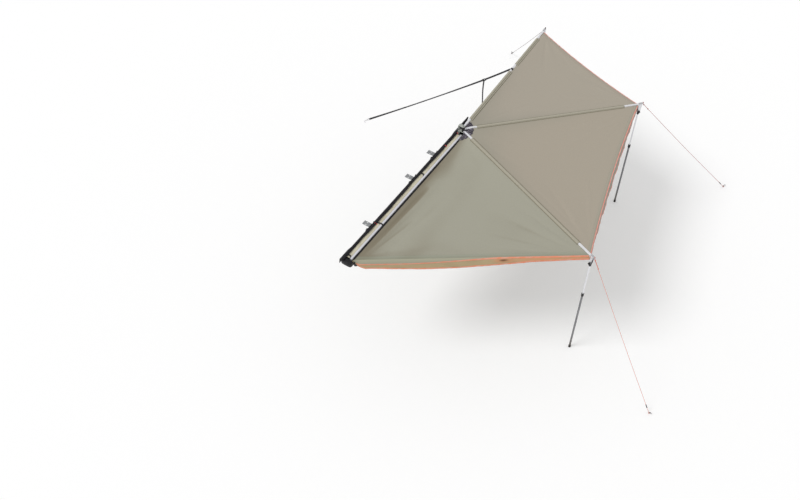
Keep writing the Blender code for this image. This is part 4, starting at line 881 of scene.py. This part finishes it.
def outward_of(place):
    flat = place[..., :2] - hub[:2]
    flat = flat / np.linalg.norm(flat, axis=-1, keepdims=True)
    return np.concatenate([flat, np.zeros_like(flat[..., :1])], -1)


def eased(value, low, high):
    share = np.clip((value - low) / (high - low), 0, 1)
    return share * share * (3 - 2 * share)


def rolled(number, u):
    """How far the cloth turns down before the strip: only the front hem sags so."""
    if number > 1:
        return np.zeros_like(u)
    return eased(u, -0.012, 0.030) * (0.008 + 0.060 * (1 - eased(u, 0.20, 0.66)))


front_heights = ((0.010, 0.03, 0.06, 0.15, 0.37, 0.50, 0.65, 0.74, 0.86, 1.0),
                 (0.004, 0.034, 0.070, 0.076, 0.106, 0.112, 0.092, 0.064, 0.053, 0.048))


def strip_height(number, u):
    if number == 1:
        return np.interp(u, *front_heights)
    return 0.095 * (0.80 + 0.20 * np.minimum(1, 4 * np.sin(math.pi * u)))


roll_out = 0.022
flares = {1: 0.006, 2: 0.022, 3: 0.014}
gathers = {1: 0.0016, 2: 0.0040, 3: 0.0036}


def hang(number, u, reach):
    """A place on the strip: u from one arm to the next, and so many metres down from the fold."""
    fold = canopy(number, u, 1.0)
    middle = np.sin(math.pi * u)
    v = np.clip((reach - rolled(number, u)) / strip_height(number, u), 0, 1)
    swing = np.sin(46 * u) + 0.45 * np.sin(113 * u + 1.3) + 0.25 * np.sin(211 * u)
    lean = v * (0.004 + gathers[number] * swing * np.minimum(1, 6 * middle) + flares[number] * middle)
    lean = lean + 0.0025 * np.sin(math.pi * v) * np.sin(31 * u + number) * middle
    if number == 1:
        lean = lean + roll_out * (1 - np.exp(-reach / roll_out)) * eased(u, 0.0, 0.05)
    place = fold + outward_of(fold) * lean[..., None]
    place[..., 2] -= reach
    return place


def strip_cloth(name, light, warm, dark):
    """The strip's own cloth. A tone of -1 marks the panel's cloth that is rolled over before it, and a tone
    above 1 paints a shadow in the dark colour.
    """
    made = Finish(name, specular_ior_level=0.25, sheen_weight=0.1)
    cut, across, along = made.on_cut()
    tone_and_shade = made.node("Attribute", {"attribute_name": "tone_and_shade"}, {}, "Fac")
    streaks = made.cloud(cut, 9, 4, (0.50, 0.70), (3, 1, 1))
    mottled = made.cloud(cut, 55, 3)
    colour = made.mix(made.step(tone_and_shade + (mottled - 0.5) * 0.3, 0.0, 1.0), light, warm)
    # Painted shadow where the tone is above 1.
    colour = made.mix(made.step(tone_and_shade, 1.1, 2.0), colour, dark)
    colour = made.mix(streaks * 0.25, colour, dark)
    colour = made.mix(1 - made.step(tone_and_shade, -0.6, -0.4), colour, (172, 170, 149))
    made.finish(colour, 0.8)
    made.relief(made.weave(across, along, 0.0016), 0.00018)
    return made


def bias_tape(name, fresh, faded):
    made = Finish(name, specular_ior_level=0.3)
    cut, _, along = made.on_cut()
    made.finish(made.mix(made.cloud(cut, 14, 4, (0.35, 0.65)), fresh, faded), 0.62)
    made.relief(made.wave(along, 0.0018), 0.00025)
    return made


bias_tapes = {1: bias_tape("orange_tape", (242, 148, 112), (232, 172, 148)),
              2: bias_tape("pink_tape_2", (236, 146, 132), (236, 178, 164)),
              3: bias_tape("pink_tape_3", (236, 148, 138), (248, 206, 196))}
strip_cloths = {1: strip_cloth("valance_cloth_1", (188, 170, 132), (210, 160, 120), (104, 76, 50)),
                2: strip_cloth("valance_cloth_2", (164, 161, 146), (178, 160, 146), (128, 120, 104)),
                3: strip_cloth("valance_cloth_3", (156, 151, 136), (170, 152, 136), (120, 112, 96))}
orange_thread = thread("orange_thread", (222, 138, 108), (244, 186, 164))
hem_lengths = {1: 2.71, 2: 2.66, 3: 1.85}
turned_share, hung_share = 0.34, 0.66
strip_flats = {1: (0.20, 0.36), 2: (0.095, 0.25), 3: (0.095, 0.173)}
up = np.array((0, 0, 1.0))
for number, length in hem_lengths.items():
    u, down = spread(round(length / 0.011), 18)
    turned, height = rolled(number, u), strip_height(number, u)
    above, below = np.clip(down / turned_share, 0, 1), np.clip((down - turned_share) / hung_share, 0, 1)
    if number == 1:
        # A dark streak of painted shadow across the first strip.
        painted_shadow = 1.6 * np.exp(-((u - 0.635) / 0.032) ** 2 - ((below - 0.3) / 0.26) ** 2)
        tone_and_shade = np.where(below > 0, 0.15 + 0.85 * eased(u, 0.60, 0.80) + painted_shadow, -1.0)
    else:
        above, below = np.zeros_like(down), down
        tone_and_shade = 0.3 + 0.4 * np.sin(9 * u)
    reach = turned * above + height * below
    cut = pair(u * length, height + turned - reach)
    strip = cloth_piece(f"valance_{number}", hang(number, u, reach), cut, strip_cloths[number],
                        thickness=0.0008, tone_and_shade=tone_and_shade)
    share = np.linspace(0.018 if number == 1 else 0.002, 0.998, round(length / 0.010))
    turned, height = rolled(number, share), strip_height(number, share)
    full = turned + height
    hem = hang(number, share, 0.0)
    out = outward_of(hem)
    if number == 1:
        seam_rows = [hang(number, share, np.maximum(turned + off, 0)) + out * 0.0014 + up * 0.0004
                     for off in (-0.009, -0.0045, 0.0, 0.0045, 0.008)]
        hem_line = hang(number, share, turned) + out * 0.0024
    else:
        seam_rows = [canopy(number, share, 1 - off / panel_length) + up * rise
                     for off, rise in ((0.010, 0.0013), (0.005, 0.0016), (0.001, 0.0018))]
        seam_rows += [hem + out * 0.0022 + up * 0.0004, hang(number, share, 0.008) + out * 0.0020]
        hem_line = canopy(number, share, 1 - 0.0060 / panel_length) + up * 0.0024
    outer, inner = ([hang(number, share, full - off) + out * side for off in (0.021, 0.0105, 0.0)]
                    for side in (0.0012, -0.0012))
    low_rows = outer + [hang(number, share, full) - up * 0.0013] + inner[::-1]
    tapes = []
    for place, rows in (("hem", seam_rows), ("low", low_rows)):
        cut = pair(np.linspace(0, 0.042, len(rows)), (share * length)[:, None])
        tapes.append(cloth_piece(f"valance_tape_{place}_{number}", np.stack(rows, 1), cut, bias_tapes[number],
                                 thickness=strip_thick))
    low_line = hang(number, share, full - 0.0175) + out * 0.0020
    strip_seam = sewn(f"valance_seam_{number}", [hem_line, low_line], seam_step, orange_thread)
    fold_line = canopy(number, share, 1 - 0.0550 / panel_length) + up * 0.0009
    hem_seam = sewn(f"hem_seam_{number}", [fold_line], seam_step, khaki_thread)
    for item in (strip, *tapes, strip_seam, hem_seam):
        between_arms(item, number)
        "olive_cloth" if item in (strip, hem_seam) else "orange_cord"
    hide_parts(f"panel_{number}")
    wide, area = strip_flats[number]


# Keder and hub patches: a black bolt rope in its tape holds the first panel to the rail, and dark mesh
# patches close the fan between the arms close to the hub. The lighter blotches on the mesh are painted sheen.

bead = [(0.0003, -0.0030), (0.0003, 0.0026), (0.0020, 0.0048), (0.0052, 0.0044), (0.0078, 0.0022),
        (0.0130, 0.0015), (0.0200, 0.0013)]
bead_run = np.array((0.0, 0.0056, 0.0084, 0.0116, 0.0150, 0.0202, 0.0272))
v = np.linspace(0, 1, 330)
first_opening = 0.9326  # Sine of the angle between the rail and the first arm
opening = first_opening * (hub_reach + (rail_reach - hub_reach) * v)
keder_grid = np.stack([canopy(1, off / opening, v) + (0, 0, rise) for off, rise in bead], 1)
keder = cloth_piece("rail_keder", keder_grid, pair(bead_run, (2.30 * v)[:, None]), pvc, thickness=0.0010)
keder_seam = sewn("rail_keder_seam", [keder_grid[:, 5] + (0, 0, 0.0008)], 0.0075, black_thread)
for item in (keder, keder_seam):
    between_arms(item, 1)

mesh_cloth = Finish("hub_mesh", specular_ior_level=0.5, sheen_weight=0.25, sheen_roughness=0.4)
cut, across, along = mesh_cloth.on_cut()
holes = mesh_cloth.weave(across, along, 0.0020)
# Lighter blotches of painted sheen on the dark mesh.
painted_sheen = mesh_cloth.cloud(cut, 34, 3, (0.46, 0.66), (0.5, 1.6, 1))
mesh_cloth.finish(mesh_cloth.mix(painted_sheen, (40, 34, 46), (140, 132, 144)), 0.55 + holes * 0.1)
mesh_cloth.relief(holes, 0.0003)
for number, flat in {1: (0.170, 0.110), 2: (0.140, 0.110), 3: (0.100, 0.110)}.items():
    u, out = spread(44, 26)
    bow = 4 * u * (1 - u)
    radius = 0.034 + (0.132 * (1 + 0.10 * bow) + 0.006 * np.sin(17 * u + number) - 0.034) * out
    first, second = place_beside(number, 1, radius), place_beside(number + 1, -1, radius)
    patch_grid = first + (second - first) * u[..., None]
    loose = np.minimum(1, 5 * np.minimum(u, 1 - u))
    crumpled = ruffle(patch_grid, (0.030, 0.030, 0.060), 0.0022, number) - 0.004 * (1 - out)
    patch_grid[..., 2] += crumpled * loose + 0.0035 * out ** 2
    patch_cut = pair((u - 0.5) * flat[0] * (0.3 + 0.7 * out), out * flat[1])
    patch = cloth_piece(f"hub_patch_{number}", patch_grid, patch_cut, mesh_cloth, thickness=0.0007)
    between_arms(patch, number)
    flat[0] * flat[1] * 0.62


# Guy ropes: a braided cord from the eye of each tip to a bent steel peg. A barrel knot stops it above
# the eye, a turned runner tightens it near the peg, and its end is wound round the peg's shaft.

def unit(vector):
    return vector / np.linalg.norm(vector)


def tube(name, path, radius, finish, sides=10):
    """A round cord with closed ends, and its girth and length as its cut."""
    path = np.asarray(path, float)
    ahead = np.gradient(path, axis=0)
    ahead /= np.linalg.norm(ahead, axis=1, keepdims=True)
    side = np.cross(ahead[0], (0.31, 0.17, 0.93))
    turn = np.linspace(0, 2 * math.pi, sides + 1)[:, None]
    rings = []
    for place, along in zip(path, ahead):
        side = unit(side - along * (side @ along))
        rings.append(place + radius * (np.cos(turn) * side + np.sin(turn) * np.cross(along, side)))
    points = [np.repeat(path[:1], sides + 1, 0), *rings, np.repeat(path[-1:], sides + 1, 0)]
    run = run_of(path)
    cut = pair(np.linspace(0, 2 * math.pi * radius, sides + 1), np.concatenate([[0], run, run[-1:]])[:, None])
    return cloth_piece(name, np.stack(points), cut, finish, thickness=0, weld=True)


def circle(axis, turn):
    """The ways out from an axis at the given turns."""
    first = unit(np.cross(axis, (0.37, 0.91, 0.19)))
    return np.cos(turn)[:, None] * first + np.sin(turn)[:, None] * np.cross(axis, first)


def winding(middle, axis, turns, radius, pitch):
    """Turns of a cord round an axis, with 14 places in each."""
    angle = np.linspace(0, 2 * math.pi * turns, round(14 * turns) + 1)
    climb = unit(axis) * pitch * (angle / (2 * math.pi) - turns / 2)[:, None]
    return middle + climb + radius * circle(unit(axis), angle)


def lathe(name, profile, middle, axis, finish, sides=24):
    """A turned piece with a bore: its profile is a closed loop of radius and place along the axis."""
    ring = circle(unit(axis), np.linspace(0, 2 * math.pi, sides + 1))
    loop = profile + profile[:1]
    grid = np.stack([middle + ring * radius - unit(axis) * along for radius, along in loop])
    cut = pair(np.linspace(0, 0.03, sides + 1), np.linspace(0, 0.1, len(loop))[:, None])
    return cloth_piece(name, grid, cut, finish, thickness=0, weld=True)


def limp_cord(item, path, start, length, diameter, far_end, lay="taut", **more):
    tuple(start)


def braid(name, light, dark, fleck):
    """Braided polyester: two sets of strands that cross, with a fleck of another thread."""
    made = Finish(name, specular_ior_level=0.35, sheen_weight=0.1)
    cut, across, along = made.on_cut()
    left, right = made.wave(along + across, 0.0052), made.wave(along - across, 0.0052)
    worn = made.cloud(cut, 45, 3)
    marked = made.step(left * right, 0.55, 0.8)
    made.finish(made.mix(marked * 0.5, made.mix(worn * 0.8, light, dark), fleck), 0.62 + worn * 0.12)
    made.relief(made.math("MAXIMUM", left, right), 0.0005)
    return made


dress(worn_finish("dark_steel", ((52, 50, 54), (92, 84, 80)), (160, 5, (0.4, 0.7)), None, (0.4, 0.3, 0),
                  0.0002, metallic=0.9), "peg_2", "peg_3")
dress(zinc, "peg_4")
tip_radius = 2.405
eye_out, eye_top = 0.039, 0.016
rope_radius, peg_radius = 0.0025, 0.0040
peg_above, peg_lean = 0.035, math.radians(20)
runner_from_peg = 0.10
guy_ropes = {2: (1.29, 0.14, 2.25, braid("guy_braid_2", (240, 158, 140), (226, 128, 112), (250, 206, 190))),
             3: (1.67, -0.105, 2.51, braid("guy_braid_3", (198, 112, 100), (166, 84, 78), (226, 166, 150))),
             4: (1.53, 1.08, 2.67, braid("guy_braid_4", (108, 68, 60), (72, 44, 50), (160, 118, 92)))}
spool_half = [(0.0029, 0.0250), (0.0050, 0.0250), (0.0062, 0.0240), (0.0066, 0.0220), (0.0066, 0.0180),
              (0.0060, 0.0160), (0.0050, 0.0120), (0.0048, 0.0060)]
spool = [(radius, -along) for radius, along in spool_half] + spool_half[::-1]
for number, (outward_by, sideways_by, length, braided) in guy_ropes.items():
    outward, sideways = np.append(heading(number), 0.0), np.append(aside(number), 0.0)
    tip = hub + outward * tip_radius + up * (arm_levels[number] - tip_radius * droop)
    stop = tip + outward * eye_out + up * (eye_top + 0.0085)
    start = tip + outward * eye_out + up * (eye_top - 0.015)
    away = outward * outward_by + sideways * sideways_by
    flat = unit(away)
    shaft = flat * math.sin(peg_lean) + up * math.cos(peg_lean)
    tie = tip + away + up * (ground - tip[2]) + shaft * peg_above * 0.45
    end = tie - flat * (peg_radius + rope_radius * 0.6)
    line, _ = ribbon([start, (start + end) / 2 - up * 0.012, end], 0.010)
    path = np.concatenate([[stop, (stop + start) / 2], line])
    rope = tube(f"guy_cord_{number}", path, rope_radius, braided)
    run = unit(line[-1] - line[-2])
    knot = tube(f"guy_knot_{number}", winding(stop, up, 2.0, 0.0040, 0.0048), 0.0023, braided, 8)
    beside = [line[step] + sideways * off for step, off in ((1, 0.0052), (8, 0.0050), (15, 0.0052))]
    doubled, _ = ribbon(beside, 0.008)
    tail = tube(f"guy_tail_{number}", doubled, rope_radius, braided)
    seized = []
    for place, step, at in (("near", 3, 2), ("far", 14, -2)):
        bound = winding((line[step] + doubled[at]) / 2, run, 3.0, 0.0060, 0.0042)
        seized.append(tube(f"guy_seizing_{number}_{place}", bound, 0.0018, braided, 7))
    runner = lathe(f"guy_runner_{number}", spool, end - run * runner_from_peg, run, plastic)
    wraps = tube(f"guy_wraps_{number}", winding(tie, shaft, 2.5, 0.0068, 0.0052), 0.0024, braided, 8)
    for item in (rope, knot, tail, *seized, wraps, runner):
        fit(item, f"arm_{number}")
    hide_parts(f"guy_rope_{number}")
    limp_cord(rope, path, stop, length, 2 * rope_radius, "object", with_pieces=[knot, *seized, wraps, runner])
    limp_cord(tail, doubled, doubled[0], 0.14, 2 * rope_radius, "bare")


# Strap: black webbing that is looped round the last arm and hooked to the far side of the roof. A
# plastic ladder buckle joins its short and long runs, and the loose tail hangs from the buckle.

def by_last_arm(out, across, rise):
    outward, sideways = np.append(heading(4), 0.0), np.append(aside(4), 0.0)
    return hub + outward * out + sideways * across + up * (arm_levels[4] + rise)


strap_width, strap_thick, strap_on_arm = 0.030, 0.0020, 1.375
buckle_reach, hook_reach = 0.0233, 0.020
buckle_at, hook_at = by_last_arm(0.978, 0.214, -0.040), by_last_arm(-0.453, 1.134, -0.040)
loop_side = by_last_arm(strap_on_arm, 0.0142, -strap_on_arm * droop - 0.001)
toward_arm, toward_hook = unit(loop_side - buckle_at), unit(hook_at - buckle_at)
skew = np.linalg.norm(np.cross(toward_arm, toward_hook)) * strap_width / 2


def band(name, path, side, roll=0.0):
    """Flat webbing along a path, level across its width or rolled a little on its way."""
    run = run_of(path)
    share = strap_width * np.linspace(-0.5, 0.5, 9)
    turn = roll * np.sin(math.pi * run / run[-1])[:, None]
    across = np.cos(turn) * side + np.sin(turn) * up
    grid = path[:, None, :] + across[:, None, :] * share[:, None]
    return cloth_piece(name, grid, pair(share, run[:, None]), webbing, thickness=strap_thick), grid


def box_stitches(grid, first, last):
    """A sewn box with a cross in it, over some rows of a band."""
    lift = up * 0.0014
    low, high = grid[first:last + 1, 1] + lift, grid[first:last + 1, 7] + lift
    share = np.linspace(0, 1, last - first + 1)[:, None]
    cross = [low + (high - low) * share, high + (low - high) * share]
    return [low, high, *(grid[row, 1:8] + lift for row in (first, last)), *cross]


short_end = buckle_at + toward_arm * (buckle_reach + skew)
short_path, _ = ribbon([loop_side, (loop_side + short_end) / 2 - up * 0.002, short_end], 0.008)
short_band, short_grid = band("strap_short_run", short_path, unit(np.cross(up, toward_arm)))
section = []
for turn, (a, b) in zip((0, 90, 180, 270), ((1, 1), (-1, 1), (-1, -1), (1, -1))):
    section += [(a * 0.0108 + 0.0040 * math.cos(t), b * 0.0088 + 0.0040 * math.sin(t))
                for t in np.radians(np.arange(turn, turn + 91, 15))]
section = np.array(section + section[:1])
places = strap_on_arm + np.linspace(-0.017, 0.017, 9)
loop_grid = np.array([[by_last_arm(out, a, b - out * droop) for out in places] for a, b in section])
loop_cut = pair(places - strap_on_arm, run_of(section)[:, None])
strap_loop = cloth_piece("strap_loop", loop_grid, loop_cut, webbing, thickness=0.0018, weld=True)

long_start, long_end = buckle_at + toward_hook * buckle_reach, hook_at - toward_hook * hook_reach
share = np.linspace(0, 1, 200)[:, None]
long_path = long_start + (long_end - long_start) * share - up * 0.012 * 4 * share * (1 - share)
hook_side = unit(np.cross(up, toward_hook))
long_band, long_grid = band("strap_long_run", long_path, hook_side, roll=0.35)
tail_top = buckle_at - up * 0.0033
share = np.linspace(0, 1, 80)[:, None]
tail_path = tail_top + toward_hook * 0.006 * np.sin(5 * share) - up * 0.50 * share
tail_band, _ = band("strap_tail_run", tail_path, hook_side)
fine_stitch = (0.0034, 0.0009, 0.0008)
boxes = box_stitches(long_grid, 192, 198) + box_stitches(long_grid, 184, 190) + box_stitches(short_grid, 2, 7)
strap_thread = thread("strap_thread", (60, 58, 62), (104, 101, 104))
sewn_boxes = sewn("strap_stitches", boxes, 0.0042, strap_thread, fine_stitch)
for item, node in ((short_band, "strap_short"), (strap_loop, None), (long_band, "strap_long"),
                   (tail_band, "strap_tail"), (sewn_boxes, None)):
    fit(item, "arm_4", node)
limp_cord(short_band, short_path, loop_side, 0.42, strap_width, "fitting",
          with_pieces=[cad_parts["strap_buckle"], strap_loop])
limp_cord(long_band, long_path, long_start, 1.66, strap_width, "fitting",
          with_pieces=[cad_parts["strap_hook"]])
limp_cord(tail_band, tail_path, tail_top, 0.50, strap_width, "bare", lay="hanging")


bpy.context.view_layer.update()
